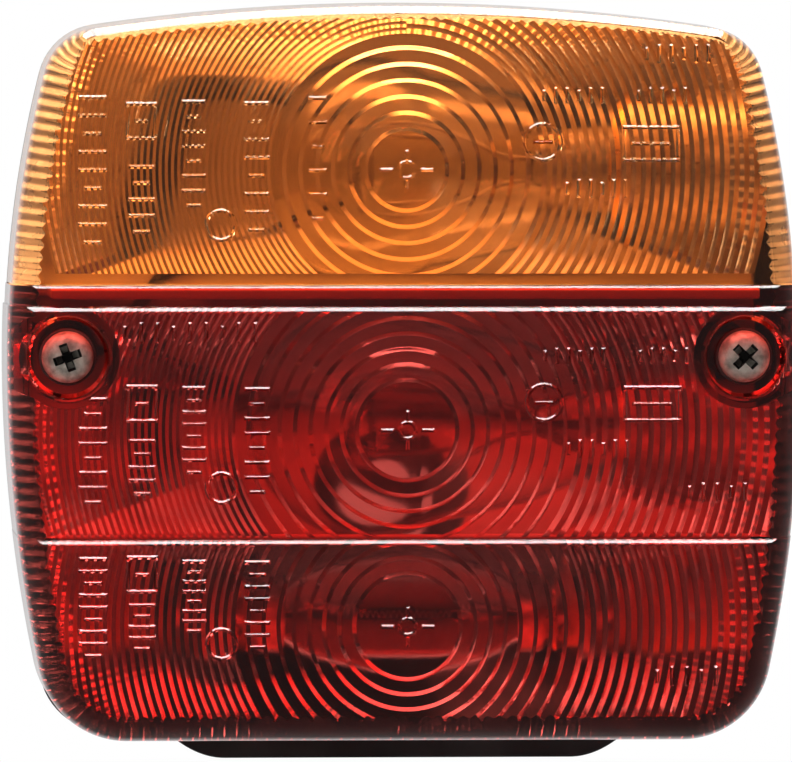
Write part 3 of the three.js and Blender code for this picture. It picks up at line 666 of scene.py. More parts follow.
LENS_COLOURS = {  # the plastic's colour, and what it leaves of the lights' white
    "amber": ((0.77, 0.38, 0.15), (0.95, 0.60, 0.28)),
    "red": ((0.83, 0.105, 0.085), (0.90, 0.31, 0.26)),
}
FLUTE_FINISH = {"amber": (0.26, 0.36), "red": (0.06, 0.12)}
LENS_MATERIALS = {}
for colour, (tint, light) in LENS_COLOURS.items():
    finishes = {"polished": (0.02, 0.06), "inside": (0.08, 0.14), "fluted": FLUTE_FINISH[colour]}
    LENS_MATERIALS[colour] = [
        see_through(f"{colour}_lens_{finish}", tint, light, 1.49, rough).material
        for finish, rough in finishes.items()
    ]
CLEAR = see_through("clear_window", (0.93, 0.95, 0.95), (0.95, 0.96, 0.96), 1.58).material
BULB_GLASS = see_through("bulb_glass", (0.98, 0.99, 0.99), (0.98, 0.98, 0.98), 1.5, (0.0, 0.015)).material
HOUSING_BLACK = (0.004, 0.004, 0.004), (0.008, 0.008, 0.008)
BLACK = solid_material("housing_plastic", *HOUSING_BLACK, (0.5, 0.62), grain=1800, specular=0.15).material
# The tray's grey carries painted shade and painted light by height.
TRAY_WITH_PAINTED_SHADE = tray_with_painted_shade()
RUBBER = solid_material("seal_rubber", (0.014, 0.014, 0.014), (0.03, 0.03, 0.03), (0.7, 0.9)).material
TARNISHED = solid_material(
    "tarnished_steel", (0.17, 0.155, 0.13), (0.42, 0.38, 0.32), (0.42, 0.55), 0.6, 1500, 0.00002, 700
).material
# Near-black painted shade for the screws' cross recesses.
SLOT_SHADE_PAINT = solid_material("slot_painted_shade", (0.004, 0.004, 0.004), (0.008, 0.007, 0.006), (0.8, 0.95)).material
STEEL = solid_material(
    "plated_steel", (0.34, 0.32, 0.29), (0.62, 0.60, 0.56), (0.25, 0.5), 1.0, 1500, 0.00001, 500
).material
BRASS = solid_material(
    "brass", (0.55, 0.37, 0.14), (0.78, 0.58, 0.26), (0.22, 0.4), 1.0, 1500, 0.00001, 400
).material
TUNGSTEN = solid_material("tungsten", (0.2, 0.19, 0.18), (0.35, 0.33, 0.31), (0.3, 0.45), 1.0).material
VITRITE = solid_material("cap_glass", (0.01, 0.01, 0.012), (0.02, 0.02, 0.024), (0.1, 0.2)).material
CREAM = solid_material("insulator", (0.62, 0.57, 0.46), (0.74, 0.7, 0.6), (0.35, 0.5)).material
LEAD_BLACK = solid_material("lead_black", (0.012, 0.012, 0.012), (0.02, 0.02, 0.02), (0.4, 0.5)).material
LEAD_BROWN = solid_material("lead_brown", (0.1, 0.04, 0.018), (0.14, 0.06, 0.03), (0.4, 0.5)).material

SLOT_MATERIALS = {
    "housing_plastic": BLACK,
    "amber_lens_plastic": LENS_MATERIALS["amber"][0],
    "red_lens_plastic": LENS_MATERIALS["red"][0],
    "clear_plastic": CLEAR,
    "tray_plastic": TRAY_WITH_PAINTED_SHADE,
    "seal_rubber": RUBBER,
    "bulb_glass": BULB_GLASS,
    "plated_steel": STEEL,
    "brass": BRASS,
    "filament_metal": TUNGSTEN,
    "cap_glass": VITRITE,
    "insulator_plastic": CREAM,
    "lead_black": LEAD_BLACK,
    "lead_brown": LEAD_BROWN,
}
for part in frame["record"]["subparts"]:
    node = frame["nodes"][part["node"]]
    node.data.materials.clear()
    node.data.materials.append(SLOT_MATERIALS[part["material_slot"]])

# ---- lens ---------------------------------------------------------------------------------------

LENS_WALL = 2.0
TOP_WALL = 1.4
LENS_DEPTH = 28.5
SIDE_TAPER = 0.8
CURVE_DEPTH, CURVE_INSET = 10.5, 3.9
TOP_TAPER, TOP_BEVEL = 1.1, 0.95
BEVEL_BULGE = 0.16
PROFILE_DEPTHS = (10.5, 9, 7.8, 6.6, 5.5, 4.5, 3.6, 2.8, 2.1, 1.5, 0.95, 0.7, 0.475, 0.25, 0.1, 0)
STRIP_BOTTOM_Y = 8.85
LOWER_STEP_Y = -21.2
STRIP_FRONT = 47.0
STOP_FRONT = 48.5
AMBER_INSET = 0.3
STRIP_INSET = 0.15
EDGE_SPACING = 0.5
LEVEL_LAP = 0.5

FLUTE_PITCH = 1.6
FLUTE_DEPTH = 0.36
FLUTE_REACH, FLUTE_FADE = 9.6, 2.0
STEP_WALL = 0.8

POCKET_RADIUS = 5.2
POCKET_WALL = 1.5
POCKET_FLOOR = 44.0
PILLAR_RADIUS = 2.9
PILLAR_BORE = 2.1
PILLAR_BACK = 21.0

# Optical centres, the radius of the plain disc, the inner rings' pitch, the radius where the outer
# ridges take over, their pitch on the left and on the right, and where they end.
RINGS = {
    "indicator": {"y": 26.4, "disc": 5.0, "pitch": 2.1, "zone": 17.6, "outer": (0.8, 1.28), "end": 47.2},
    "stop": {"y": -7.15, "disc": 6.2, "pitch": 2.0, "zone": 22.2, "outer": (0.9, 1.5), "end": 49.2},
    "tail": {"y": -32.4, "disc": 6.6, "pitch": 1.95, "zone": 22.2, "outer": (1.1, 1.5), "end": 49.2},
}
RISER, RISER_SLOPE = 0.55, 0.8
OUTER_SLOPE = 0.78


def flute(walked):
    """How far a flute moves the inside of the side wall in, at a distance along the edge."""
    return FLUTE_DEPTH * (1 - math.cos(2 * math.pi * walked / FLUTE_PITCH)) / 2


def side_inset(depth):
    """How far the lens's side is in, at a depth below its front: a slight taper, then a long curve."""
    if depth >= CURVE_DEPTH:
        return SIDE_TAPER * (LENS_DEPTH - depth) / (LENS_DEPTH - CURVE_DEPTH)
    share = (CURVE_DEPTH - max(depth, 0)) / CURVE_DEPTH
    return SIDE_TAPER + CURVE_INSET * (1 - math.sqrt(1 - share**2))


def top_inset(depth):
    """The same at the top: a taper, then a narrow, slightly rounded bevel."""
    if depth >= TOP_BEVEL:
        return TOP_TAPER * (LENS_DEPTH - depth) / (LENS_DEPTH - TOP_BEVEL)
    share = 1 - max(depth, 0) / TOP_BEVEL
    return TOP_TAPER + TOP_BEVEL * (share - BEVEL_BULGE * share * (1 - share))


def lens_depths(front):
    """Depths from the lens's back to its front."""
    return [front - LENS_BACK] + [d for d in PROFILE_DEPTHS if d < front - LENS_BACK - 1]


def lens_level(front, inset):
    levels = [(front - d, inset + side_inset(d), inset + top_inset(d), 0) for d in lens_depths(front)]
    return outline_solid(levels, LENS_LOWER_CORNER, EDGE_SPACING)


def lens_space(front, inset):
    """The hollow of one level. Its sides are fluted near the front."""
    levels = [(LENS_BACK - 1, inset + LENS_WALL - 0.3)]
    for d in (*(d for d in lens_depths(front)[1:] if d > LENS_WALL), LENS_WALL):
        share = min(1, max(0, (FLUTE_REACH - d) / FLUTE_FADE))
        side, top = inset + side_inset(d) + LENS_WALL, inset + top_inset(d) + TOP_WALL
        levels.append((front - d, side, top, share))
    return outline_solid(levels, LENS_LOWER_CORNER, 0.2, flute)


def slab(y0, y1, front, rounding):
    """Everything between two heights, its upper front edge taken off by a slightly rounded bevel."""
    section = [(y0, 0), (y1, 0)]
    if rounding:
        for i in range(9):
            share = i / 8
            bulge = BEVEL_BULGE * rounding * share * (1 - share)
            section.append((y1 - rounding * share + bulge, front - rounding * (1 - share) + bulge))
    else:
        section.append((y1, front + 20))
    section.append((y0, front + (0 if rounding else 20)))
    return drawn_out(section, -80, 80, "x")


def ring_section(chamber, wall, outer_pitch):
    """Half a section through a chamber's optics, outwards from the axis: a domed disc, saw-toothed
    rings and, beyond them, ridges of two equal slopes. Wall is the height of the face they stand on."""
    disc, zone = chamber["disc"], chamber["zone"]
    flat = wall - 0.02
    section = [(0, flat - 0.3)]
    for i in range(1, 9):
        share = i / 8
        section.append((disc * share, flat - 0.3 * (1 - share**2)))
    r = disc
    while r + chamber["pitch"] <= zone + 0.01:
        section.append((r + RISER, flat - RISER * RISER_SLOPE))
        r += chamber["pitch"]
        section.append((r, flat))
    while r + outer_pitch <= chamber["end"]:
        section.append((r + outer_pitch / 2, flat - OUTER_SLOPE * outer_pitch / 2))
        r += outer_pitch
        section.append((r, flat))
    base = wall + 0.35
    return section + [(r, base), (0, base)]


def ring_optics(chamber, front, low, high, inset):
    """The relief on the inside of one chamber's front, between two heights."""
    wall = front - LENS_WALL
    side = inset + side_inset(LENS_WALL) + LENS_WALL - 0.2
    top = inset + top_inset(LENS_WALL) + TOP_WALL - 0.2
    levels = [(0, side, top, 0), (front - 0.6, side, top, 0)]
    limit = outline_solid(levels, LENS_LOWER_CORNER, EDGE_SPACING)
    halves = []
    for pitch, x0, x1 in ((chamber["outer"][0], -60, 0), (chamber["outer"][1], 0, 60)):
        turned = lathe(ring_section(chamber, wall, pitch), (0, chamber["y"], 0), "z", 240)
        halves.append(common(turned, box((x0, low, 0), (x1, high, 80))))
    return common(join(*halves), limit)


# Raised marks on the lens: plain bars, rings and frames in columns, standing for moulded-in data.
MARK_WIDTH = 0.52
MARK_CREST = 0.11  # half the crest, as a share of the width
MARK_ROOT = 0.89  # and half the foot, as far below the face as the crest is above it
CENTRE_RING = 1.05
CENTRE_DASHES = ((2.0, 3.2), (1.5, 2.3))  # sideways and up


def merged(objects):
    """Objects that don't touch, as one."""
    work = bmesh.new()
    for obj in objects:
        work.from_mesh(obj.data)
        bpy.data.objects.remove(obj)
    mesh = bpy.data.meshes.new("merged")
    work.to_mesh(mesh)
    work.free()
    out = bpy.data.objects.new("merged", mesh)
    bpy.context.scene.collection.objects.link(out)
    return out


def stroke(a, b, front):
    """A straight raised stroke with sloping flanks."""
    a, b = Vector(a), Vector(b)
    along = (b - a).normalized()
    across = Vector((-along.y, along.x))
    rings = []
    for half, z in ((MARK_ROOT, front - MARK_HEIGHT), (MARK_CREST, front + MARK_HEIGHT)):
        reach = half * MARK_WIDTH
        corners = [
            a - along * reach - across * reach,
            b + along * reach - across * reach,
            b + along * reach + across * reach,
            a - along * reach + across * reach,
        ]
        rings.append([(p.x, p.y, z) for p in corners])
    return loft(rings)


def ring_mark(at, radius, front):
    """A raised ring. The face inside it stands a hair proud, so it is the ring's own."""
    crest, root = MARK_WIDTH * MARK_CREST, MARK_WIDTH * MARK_ROOT
    section = [
        (0, front - MARK_HEIGHT),
        (radius + root, front - MARK_HEIGHT),
        (radius + crest, front + MARK_HEIGHT),
        (radius - crest, front + MARK_HEIGHT),
        (radius - MARK_WIDTH / 2, front + 0.01),
        (0, front + 0.01),
    ]
    return lathe(section, (*at, 0), "z", 48)


def frame_mark(at, width, height, front):
    """A rectangle with a stroke across its middle, its sides clear of one another at the corners."""
    x, y = at
    w, h, gap = width / 2, height / 2, MARK_WIDTH * 1.1
    return [
        stroke((x - w, y + h), (x + w, y + h), front),
        stroke((x - w, y - h), (x + w, y - h), front),
        stroke((x - w, y - h + gap), (x - w, y + h - gap), front),
        stroke((x + w, y - h + gap), (x + w, y + h - gap), front),
        stroke((x - w + 2 * gap, y), (x + w - 2 * gap, y), front),
    ]


def ladder(at, count, pitch, width, front, level=True):
    """A column of short level strokes, every third one shorter, or a row of upright ones."""
    out = []
    for i in range(count):
        half = width / (2 if i % 3 else 3.4)
        shift = pitch * (i - (count - 1) / 2)
        if level:
            out.append(stroke((at[0] - half, at[1] + shift), (at[0] + half, at[1] + shift), front))
        else:
            out.append(stroke((at[0] + shift, at[1] - half), (at[0] + shift, at[1] + half), front))
    return out


def centre_mark(y, front):
    out = [ring_mark((0, y), CENTRE_RING, front)]
    for side in (-1, 1):
        (x0, x1), (y0, y1) = CENTRE_DASHES
        out.append(stroke((side * x0, y), (side * x1, y), front))
        out.append(stroke((0, y + side * y0), (0, y + side * y1), front))
    return out


def column_marks(y, front, spread):
    """The marks left of a chamber's middle: ladders of strokes, a ring and a frame, in columns."""
    out = ladder((-40.5, y), 9, spread / 9, 3.2, front)
    out += frame_mark((-34.2, y + spread * 0.3), 3.6, 4.4, front)
    out += ladder((-34.2, y - spread * 0.18), 5, spread / 10, 3.0, front)
    out += ladder((-27.5, y + spread * 0.1), 8, spread / 11, 2.6, front)
    out.append(ring_mark((-24.0, y - spread * 0.34), 1.9, front))
    out += ladder((-19.4, y + spread * 0.02), 8, spread / 9, 2.8, front)
    return out


def field_marks(y, front):
    """The marks right of a chamber's middle: rows of strokes, a ring and a frame."""
    out = ladder((21.5, y + 9.6), 6, 1.5, 1.6, front, level=False)
    out += ladder((33.0, y + 9.6), 5, 1.5, 1.6, front, level=False)
    out.append(ring_mark((17.6, y + 3.6), 2.3, front))
    out.append(stroke((16.6, y + 3.6), (18.6, y + 3.6), front))
    out += frame_mark((31.6, y + 3.4), 7.0, 4.2, front)
    out += ladder((24.5, y - 2.4), 6, 1.5, 1.9, front, level=False)
    return out


def amber_lens():
    whole = slab(COLOUR_JOINT_Y, 60, AMBER_FRONT, 0)
    outside = common(lens_level(AMBER_FRONT, AMBER_INSET), whole)
    inside = common(lens_space(AMBER_FRONT, AMBER_INSET), slab(COLOUR_JOINT_Y - 5, 60, AMBER_FRONT, 0))
    lens = cut(outside, inside)
    chamber = RINGS["indicator"]
    join(lens, ring_optics(chamber, AMBER_FRONT, COLOUR_JOINT_Y + 1.4, 60, AMBER_INSET))
    y = chamber["y"]
    marks = centre_mark(y, AMBER_FRONT) + column_marks(y, AMBER_FRONT, 21)
    marks += field_marks(y, AMBER_FRONT) + ladder((35, y + 15), 6, 1.6, 1.9, AMBER_FRONT, level=False)
    marks += ladder((-11.5, y + 1.5), 6, 3.1, 1.9, AMBER_FRONT)
    return join(gridded(lens), merged(marks))


def red_shell():
    """The red lens's three levels and the hollow inside them."""
    levels = [
        (TAIL_FRONT, 0, -60, LOWER_STEP_Y, 0.65),
        (STOP_FRONT, 0, LOWER_STEP_Y, STRIP_BOTTOM_Y, 0.75),
        (STRIP_FRONT, STRIP_INSET, STRIP_BOTTOM_Y, COLOUR_JOINT_Y - 0.1, 0.4),
    ]
    outside = inside = None
    for front, inset, y0, y1, rounding in levels:
        part = common(lens_level(front, inset), slab(y0 - LEVEL_LAP, y1, front, rounding))
        outside = join(outside, part) if outside else part
        top = y1 - STEP_WALL if front > STRIP_FRONT else 60  # the strip is open towards the amber lens
        hollow = common(lens_space(front, inset), slab(y0 - LEVEL_LAP - STEP_WALL, top, front, 0))
        inside = join(inside, hollow) if inside else hollow
    return cut(outside, inside)


def red_marks():
    stop, tail = RINGS["stop"]["y"], RINGS["tail"]["y"]
    marks = centre_mark(stop, STOP_FRONT) + centre_mark(tail, TAIL_FRONT)
    marks += column_marks(stop - 1.6, STOP_FRONT, 17)
    marks += column_marks(tail + 2.6, TAIL_FRONT, 14)
    marks += field_marks(stop, STOP_FRONT)
    marks += ladder((-28, stop + 12.6), 9, 2.1, 2.2, STOP_FRONT, level=False)
    marks += ladder((40, stop - 8), 5, 1.8, 1.9, STOP_FRONT, level=False)
    marks += ladder((36, tail - 6.5), 5, 1.9, 2.1, TAIL_FRONT, level=False)
    return merged(marks)


def red_lens():
    lens = red_shell()
    screws = screw_places()
    skin = common(lens_level(STOP_FRONT, 0), slab(-15, 9, STOP_FRONT, 0))
    for at in screws:
        well = bar(POCKET_RADIUS + POCKET_WALL, POCKET_FLOOR - 1.6, STOP_FRONT - 0.5, at)
        join(lens, common(join(well, bar(PILLAR_RADIUS, PILLAR_BACK, POCKET_FLOOR, at)), copy(skin)))
    bpy.data.objects.remove(skin)
    join(lens, ring_optics(RINGS["stop"], STOP_FRONT, LOWER_STEP_Y + 0.2, STRIP_BOTTOM_Y - STEP_WALL, 0))
    join(lens, ring_optics(RINGS["tail"], TAIL_FRONT, -60, LOWER_STEP_Y - STEP_WALL, 0))
    join(gridded(lens), red_marks())
    for at in screws:
        mouth = [
            (0, POCKET_FLOOR),
            (POCKET_RADIUS - 0.4, POCKET_FLOOR),
            (POCKET_RADIUS, POCKET_FLOOR + 0.4),
            (POCKET_RADIUS, STOP_FRONT - 0.7),
            (POCKET_RADIUS + 0.25, STOP_FRONT - 0.2),
            (POCKET_RADIUS + 0.8, STOP_FRONT + 0.05),
            (POCKET_RADIUS + 0.8, STOP_FRONT + 3),
            (0, STOP_FRONT + 3),
        ]
        cut(lens, lathe(mouth, (*at, 0)), bar(PILLAR_BORE, PILLAR_BACK - 2, STOP_FRONT, at))
    return lens


def screw_places():
    places = []
    for side in ("left", "right"):
        middle = centre_of(f"{side}_lens_screw")
        places.append((middle.x, middle.y))
    return places


def on_flutes(middle, normal):
    """The inside of the side walls."""
    return normal.x * middle.x + normal.y * middle.y < -0.5 * middle.xy.length and abs(normal.z) < 0.4


def faces_back(_, normal):
    """The moulded inner side, which is less polished than the outer one."""
    return normal.z < -0.3


for colour, build in (("amber", amber_lens), ("red", red_lens)):
    polished, inner, fluted = LENS_MATERIALS[colour]
    node = f"{colour}_lens"
    others = ((fluted, on_flutes), (inner, faces_back))
    place(build(), f"{node}_shell", polished, "lens", [node], 15, others)

# ---- housing, gasket, window and grommet --------------------------------------------------------

HOUSING_TAPER = 1.0
BACK_WALL = 2.5
SIDE_WALL = 2.6
BOSS_TOP = 20.6
TRAY_BACK = 8.2
TRAY_FRONT = 9.6
HOOD_LOW, HOOD_TOP, HOOD_BOTTOM, HOOD_DEPTHS = HOUSING_LOW.y, 31.0, 25.5, (3.0, 18.4)
WINDOW_LOW, WINDOW_HIGH = lamp_box("plate_window")
WINDOW_LEDGE = 1.4
GROMMET = {"y": centre_of("cable_grommet").y, "bore": 3.2, "neck": 5.3, "flange": 7.6}
BOLT_X = centre_of("right_mounting_bolt").x
FOOT_RIVETS = (26.5, 34.5)
TAIL_RIVET = 24.0
INDICATOR_Y = centre_of("indicator_bulb_cap").y
STOP_Y = centre_of("stop_bulb_cap").y
TAIL = {"y": centre_of("tail_bulb_glass").y, "z": centre_of("tail_bulb_glass").z}
FOOT_PLACES = [(x, y) for y in (INDICATOR_Y, STOP_Y) for x in FOOT_RIVETS]
RIVET_HOLE = 1.5
RELIEF = {"depth": 0.8, "rim": 5, "pad": ((-14, -6.5), (14, 3.5)), "bolt_pad": 7}


def back_relief():
    inset = HOUSING_TAPER + RELIEF["rim"]
    recess = outline_solid([(-1, inset), (RELIEF["depth"], inset + 0.3)], HOUSING_LOWER_CORNER)
    (x0, y0), (x1, y1) = RELIEF["pad"]
    pads = [box((x0, y0, -2), (x1, y1, 2))]
    pads += [bar(RELIEF["bolt_pad"], -2, 2, (side * BOLT_X, 0)) for side in (-1, 1)]
    return cut(recess, *pads)


def hood():
    """The hood below the housing, which frames the plate window."""
    right = [(HOOD_TOP, BOTTOM_Y + 1.5), (HOOD_TOP - 0.6, BOTTOM_Y)]
    start = Vector(right[1])
    bend, end = (Vector((HOOD_BOTTOM + x, HOOD_LOW)) for x in (1.2, -2.5))
    for i in range(1, 17):
        t = i / 16
        right.append(tuple(start * (1 - t) ** 2 + bend * 2 * t * (1 - t) + end * t * t))
    left = [(-x, y) for x, y in reversed(right)]
    return bevel(drawn_out(right + left, *HOOD_DEPTHS), 0.35, 3)


def housing():
    shell = outline_solid(
        [
            (0, HOUSING_TAPER + 0.6),
            (0.25, HOUSING_TAPER + 0.2),
            (0.8, HOUSING_TAPER),
            (HOUSING_DEPTH - 0.5, 0.35),
            (HOUSING_DEPTH - 0.15, 0.45),
            (HOUSING_DEPTH, 0.7),
        ],
        HOUSING_LOWER_CORNER,
    )
    hollow = outline_solid(
        [
            (BACK_WALL, SIDE_WALL + HOUSING_TAPER + 0.8),
            (BACK_WALL + 0.8, SIDE_WALL + HOUSING_TAPER),
            (HOUSING_DEPTH - 0.4, SIDE_WALL),
            (HOUSING_DEPTH + 1, SIDE_WALL - 0.6),
        ],
        HOUSING_LOWER_CORNER,
    )
    cut(shell, hollow)
    join(shell, hood())
    for x, y in screw_places():
        boss = [(0, 1), (4.6, 1), (4.6, BACK_WALL + 0.3), (3.5, BACK_WALL + 1.8), (3.5, BOSS_TOP - 0.3)]
        join(shell, lathe(boss + [(3.2, BOSS_TOP), (0, BOSS_TOP)], (x, y, 0)))
        foot, crown = BACK_WALL - 0.5, BOSS_TOP - 6
        gusset = [(2.6, foot), (7.2, foot), (3.4, crown), (2.6, crown)]
        low = [(x - math.copysign(a, x), z) for a, z in gusset]
        join(shell, bevel(drawn_out(low, y - 0.6, y + 0.6, "y"), 0.15))
    for side in (-1, 1):
        join(shell, eased_bar([(0, 1), (7, 1), (7, 4), (0, 4)], 0.4, (side * BOLT_X, 0, 0)))
    for at in FOOT_PLACES:
        join(shell, bar(2.6, 1, TRAY_BACK - 0.1, at))
    cuts = [back_relief()]
    cuts += [bar(1.95, 5, BOSS_TOP + 1, at) for at in screw_places()]
    cuts += [bar(2.8, -1, 10, (side * BOLT_X, 0)) for side in (-1, 1)]
    cuts += [bar(RIVET_HOLE, BACK_WALL, TRAY_BACK + 1, at) for at in FOOT_PLACES]
    cuts.append(bar(GROMMET["neck"] + 0.3, -1, 5, (0, GROMMET["y"])))
    cuts.append(bar(GROMMET["flange"] + 0.3, -1, 1.4, (0, GROMMET["y"])))
    seat = Vector((0.3, 0.2, 0.3))
    top = Vector((WINDOW_HIGH.x, BOTTOM_Y + 6, WINDOW_HIGH.z))
    cuts.append(box(WINDOW_LOW - seat, top + Vector((0.3, 0, 0.3))))
    mouth_low = (WINDOW_LOW.x + WINDOW_LEDGE, HOOD_LOW - 1, WINDOW_LOW.z + WINDOW_LEDGE)
    mouth_high = (WINDOW_HIGH.x - WINDOW_LEDGE, BOTTOM_Y, WINDOW_HIGH.z - WINDOW_LEDGE)
    cuts.append(box(mouth_low, mouth_high))
    return cut(shell, *cuts)


def gasket():
    z0, z1 = HOUSING_DEPTH + 0.1, LENS_BACK - 0.1
    levels = [(z0, 0.6), (z0 + 0.2, 0.5), (z1 - 0.2, 0.5), (z1, 0.6)]
    inner = [(z0 - 1, 2.2), (z1 + 1, 2.2)]
    return cut(outline_solid(levels, LENS_LOWER_CORNER), outline_solid(inner, LENS_LOWER_CORNER))


def plate_window():
    """A clear bar whose inner face carries level ribs that spread the light."""
    plate = eased_box(WINDOW_LOW, (WINDOW_HIGH.x, WINDOW_HIGH.y - 0.5, WINDOW_HIGH.z), 0.2)
    pitch = (WINDOW_HIGH.x - WINDOW_LOW.x - 2) / 24
    section = [(WINDOW_LOW.x + 1, WINDOW_LOW.y + 0.4)]
    for i in range(24):
        x = WINDOW_LOW.x + 1 + pitch * i
        for turn in range(0, 180, 30):
            angle = math.radians(turn)
            crest = WINDOW_HIGH.y - 0.55 + 0.5 * math.sin(angle)
            section.append((x + pitch / 2 * (1 - math.cos(angle)), crest))
    section += [(WINDOW_HIGH.x - 1, WINDOW_HIGH.y - 0.55), (WINDOW_HIGH.x - 1, WINDOW_LOW.y + 0.4)]
    return join(plate, drawn_out(section, WINDOW_LOW.z + 0.8, WINDOW_HIGH.z - 0.8))


def grommet():
    bore, neck, flange = GROMMET["bore"], GROMMET["neck"], GROMMET["flange"]
    section = [
        (bore, 0.2),
        (flange, 0.2),
        (flange, 1.2),
        (neck, 1.2),
        (neck, 2.7),
        (flange - 0.4, 2.7),
        (neck, 4.4),
        (bore, 4.4),
        (bore, 3.3),
        (bore + 0.35, 2.9),
        (bore, 2.5),
        (bore + 0.35, 2.1),
        (bore, 1.7),
    ]
    return eased_ring(section, 0.22, (0, GROMMET["y"], 0))


place(housing(), "housing_shell", BLACK, "base", ["housing"])
place(gasket(), "lens_gasket_ring", RUBBER, "base", ["lens_gasket"])
place(plate_window(), "plate_window_prisms", CLEAR, "base", ["plate_window"])
place(grommet(), "cable_grommet_rubber", RUBBER, "base", ["cable_grommet"])

# ---- inner tray ---------------------------------------------------------------------------------

DIVIDERS = (  # height, half width at the back and the front, front
    (9.7, 47.0, 45.8, 44.3),
    (-21.9, 46.4, 44.6, 45.4),
)
DIVIDER = 1.4


def tray():
    levels = [(TRAY_BACK, 4.3), (TRAY_BACK + 0.3, 4), (TRAY_FRONT - 0.3, 4), (TRAY_FRONT, 4.3)]
    panel = outline_solid(levels, HOUSING_LOWER_CORNER)
    for y, back, front, top in DIVIDERS:
        points = [(-back, TRAY_BACK), (back, TRAY_BACK), (front, top), (-front, top)]
        wall = bevel(drawn_out(points, y, y + DIVIDER, "y"), 0.3, 3)
        join(panel, wall)
    cuts = [
        box((-37, DIVIDERS[0][0] - 1, TRAY_FRONT + 0.1), (-26, DIVIDERS[0][0] + 3, TRAY_FRONT + 5)),
        box((-29.5, DIVIDERS[1][0] - 1, TRAY_FRONT + 0.1), (-22.5, DIVIDERS[1][0] + 3, TRAY_FRONT + 5)),
        bar(6.5, 5, 12, (0, GROMMET["y"])),
        box((-16.5, -60, 5), (16.5, -25, 12)),
        box((-24, -60, 5), (24, -43, 12)),
    ]
    cuts += [bar(4.1, 5, 12, at) for at in screw_places()]
    rivets = FOOT_PLACES + [(-TAIL_RIVET, TAIL["y"]), (TAIL_RIVET, TAIL["y"])]
    cuts += [bar(RIVET_HOLE, 5, 12, at) for at in rivets]
    return cut(panel, *cuts)


place(tray(), "inner_tray_moulding", TRAY_WITH_PAINTED_SHADE, "base", ["inner_tray"])

# ---- lens screws and seals ----------------------------------------------------------------------

SCREW_BASE = POCKET_FLOOR + 0.9
SCREW_LENGTH = 32.0
SLOT_TURNS = {"left": 20, "right": 45}
SLOT_REACH = 2.3


def lens_screw(at, slot_turn):
    tip = SCREW_BASE - SCREW_LENGTH
    head = eased_bar(
        [
            (0, SCREW_BASE - 0.4),
            (1.4, SCREW_BASE - 0.4),
            (1.4, SCREW_BASE),
            (3.35, SCREW_BASE),
            (3.35, SCREW_BASE + 0.7),
            (3.1, SCREW_BASE + 1.45),
            (2.45, SCREW_BASE + 2.1),
            (1.3, SCREW_BASE + 2.5),
            (0, SCREW_BASE + 2.6),
        ],
        0.5,
        (*at, 0),
    )
    shank = threaded_bar(1.6, 0.38, 1.3, tip + 3, SCREW_BASE + 0.2, at)
    point = lathe([(0, tip), (0.3, tip + 0.2), (1.25, tip + 3.1), (0, tip + 3.1)], (*at, 0))
    body = join(shank, point, head)
    for turn in (slot_turn, slot_turn + 90):
        rings = []
        for z, length, width in (
            (SCREW_BASE + 0.1, 0.7, 0.32),
            (SCREW_BASE + 1.4, 1.5, 0.48),
            (SCREW_BASE + 2.0, 1.75, 0.52),
            (SCREW_BASE + 3.2, 2.1, 0.58),
        ):
            spin = Matrix.Rotation(math.radians(turn), 2)
            corners = [(-length, -width), (length, -width), (length, width), (-length, width)]
            rings.append([(*(Vector(at) + spin @ Vector(c)), z) for c in corners])
        cut(body, loft(rings))
    return body


def screw_seal(at):
    z0, z1 = POCKET_FLOOR + 0.1, POCKET_FLOOR + 0.8
    return eased_ring([(2, z0), (3.7, z0), (3.7, z1), (2, z1)], 0.3, (*at, 0))


def in_slot(at):
    """A test for the faces of a screw's recess, which are painted near-black as shade."""
    inner, low = SLOT_REACH, SCREW_BASE + 0.05

    def test(middle, normal):
        near = math.hypot(middle.x - at[0], middle.y - at[1]) < inner
        return near and middle.z > low and (normal.z < 0.5 or middle.z < low + 0.3)

    return test


for side, at in zip(("left", "right"), screw_places()):
    screw = f"{side}_lens_screw"
    seal = f"{side}_screw_seal"
    # The cross recess is painted near-black as shade.
    recess = ((SLOT_SHADE_PAINT, in_slot(at)),)
    body = lens_screw(at, SLOT_TURNS[side])
    place(body, f"{screw}_steel", TARNISHED, screw, [screw], 30, recess)
    place(screw_seal(at), f"{seal}_rubber", RUBBER, seal, [seal])

# ---- bayonet bulbs and holders ------------------------------------------------------------------

BULB_DEPTH = centre_of("indicator_bulb_glass").z
FILAMENT_X = -3.0
GLASS = {"radius": 12.5, "tip": -13.5, "wall": 0.7, "neck": 6.5}
HOLDER = {"inner": 7.75, "outer": 8.4, "mouth": 26.6, "end": 44.5, "floor": 0.6, "hole": 3.0}
PIN_AT, BAYONET_TWIST, BAYONET_PUSH, PIN_ROOM = 31.8, 25, 2, 1.25
BRACKET = {"left": 23.5, "right": 38.4, "half": 5, "thick": 1.0}
DISC = {"radius": 7.3, "from": 38.8, "thick": 1.0}


def on_bulb(profile, y, radius=0.0, sides=72):
    """(radius, distance from the filament) pairs turned about a bulb's axis."""
    at = (0, y, BULB_DEPTH)
    points = [(r, FILAMENT_X + t) for r, t in profile]
    if points[0] == points[-1]:
        return eased_ring(points[:-1], radius, at, "x", sides)
    return eased_bar(points, radius, at, "x", sides)


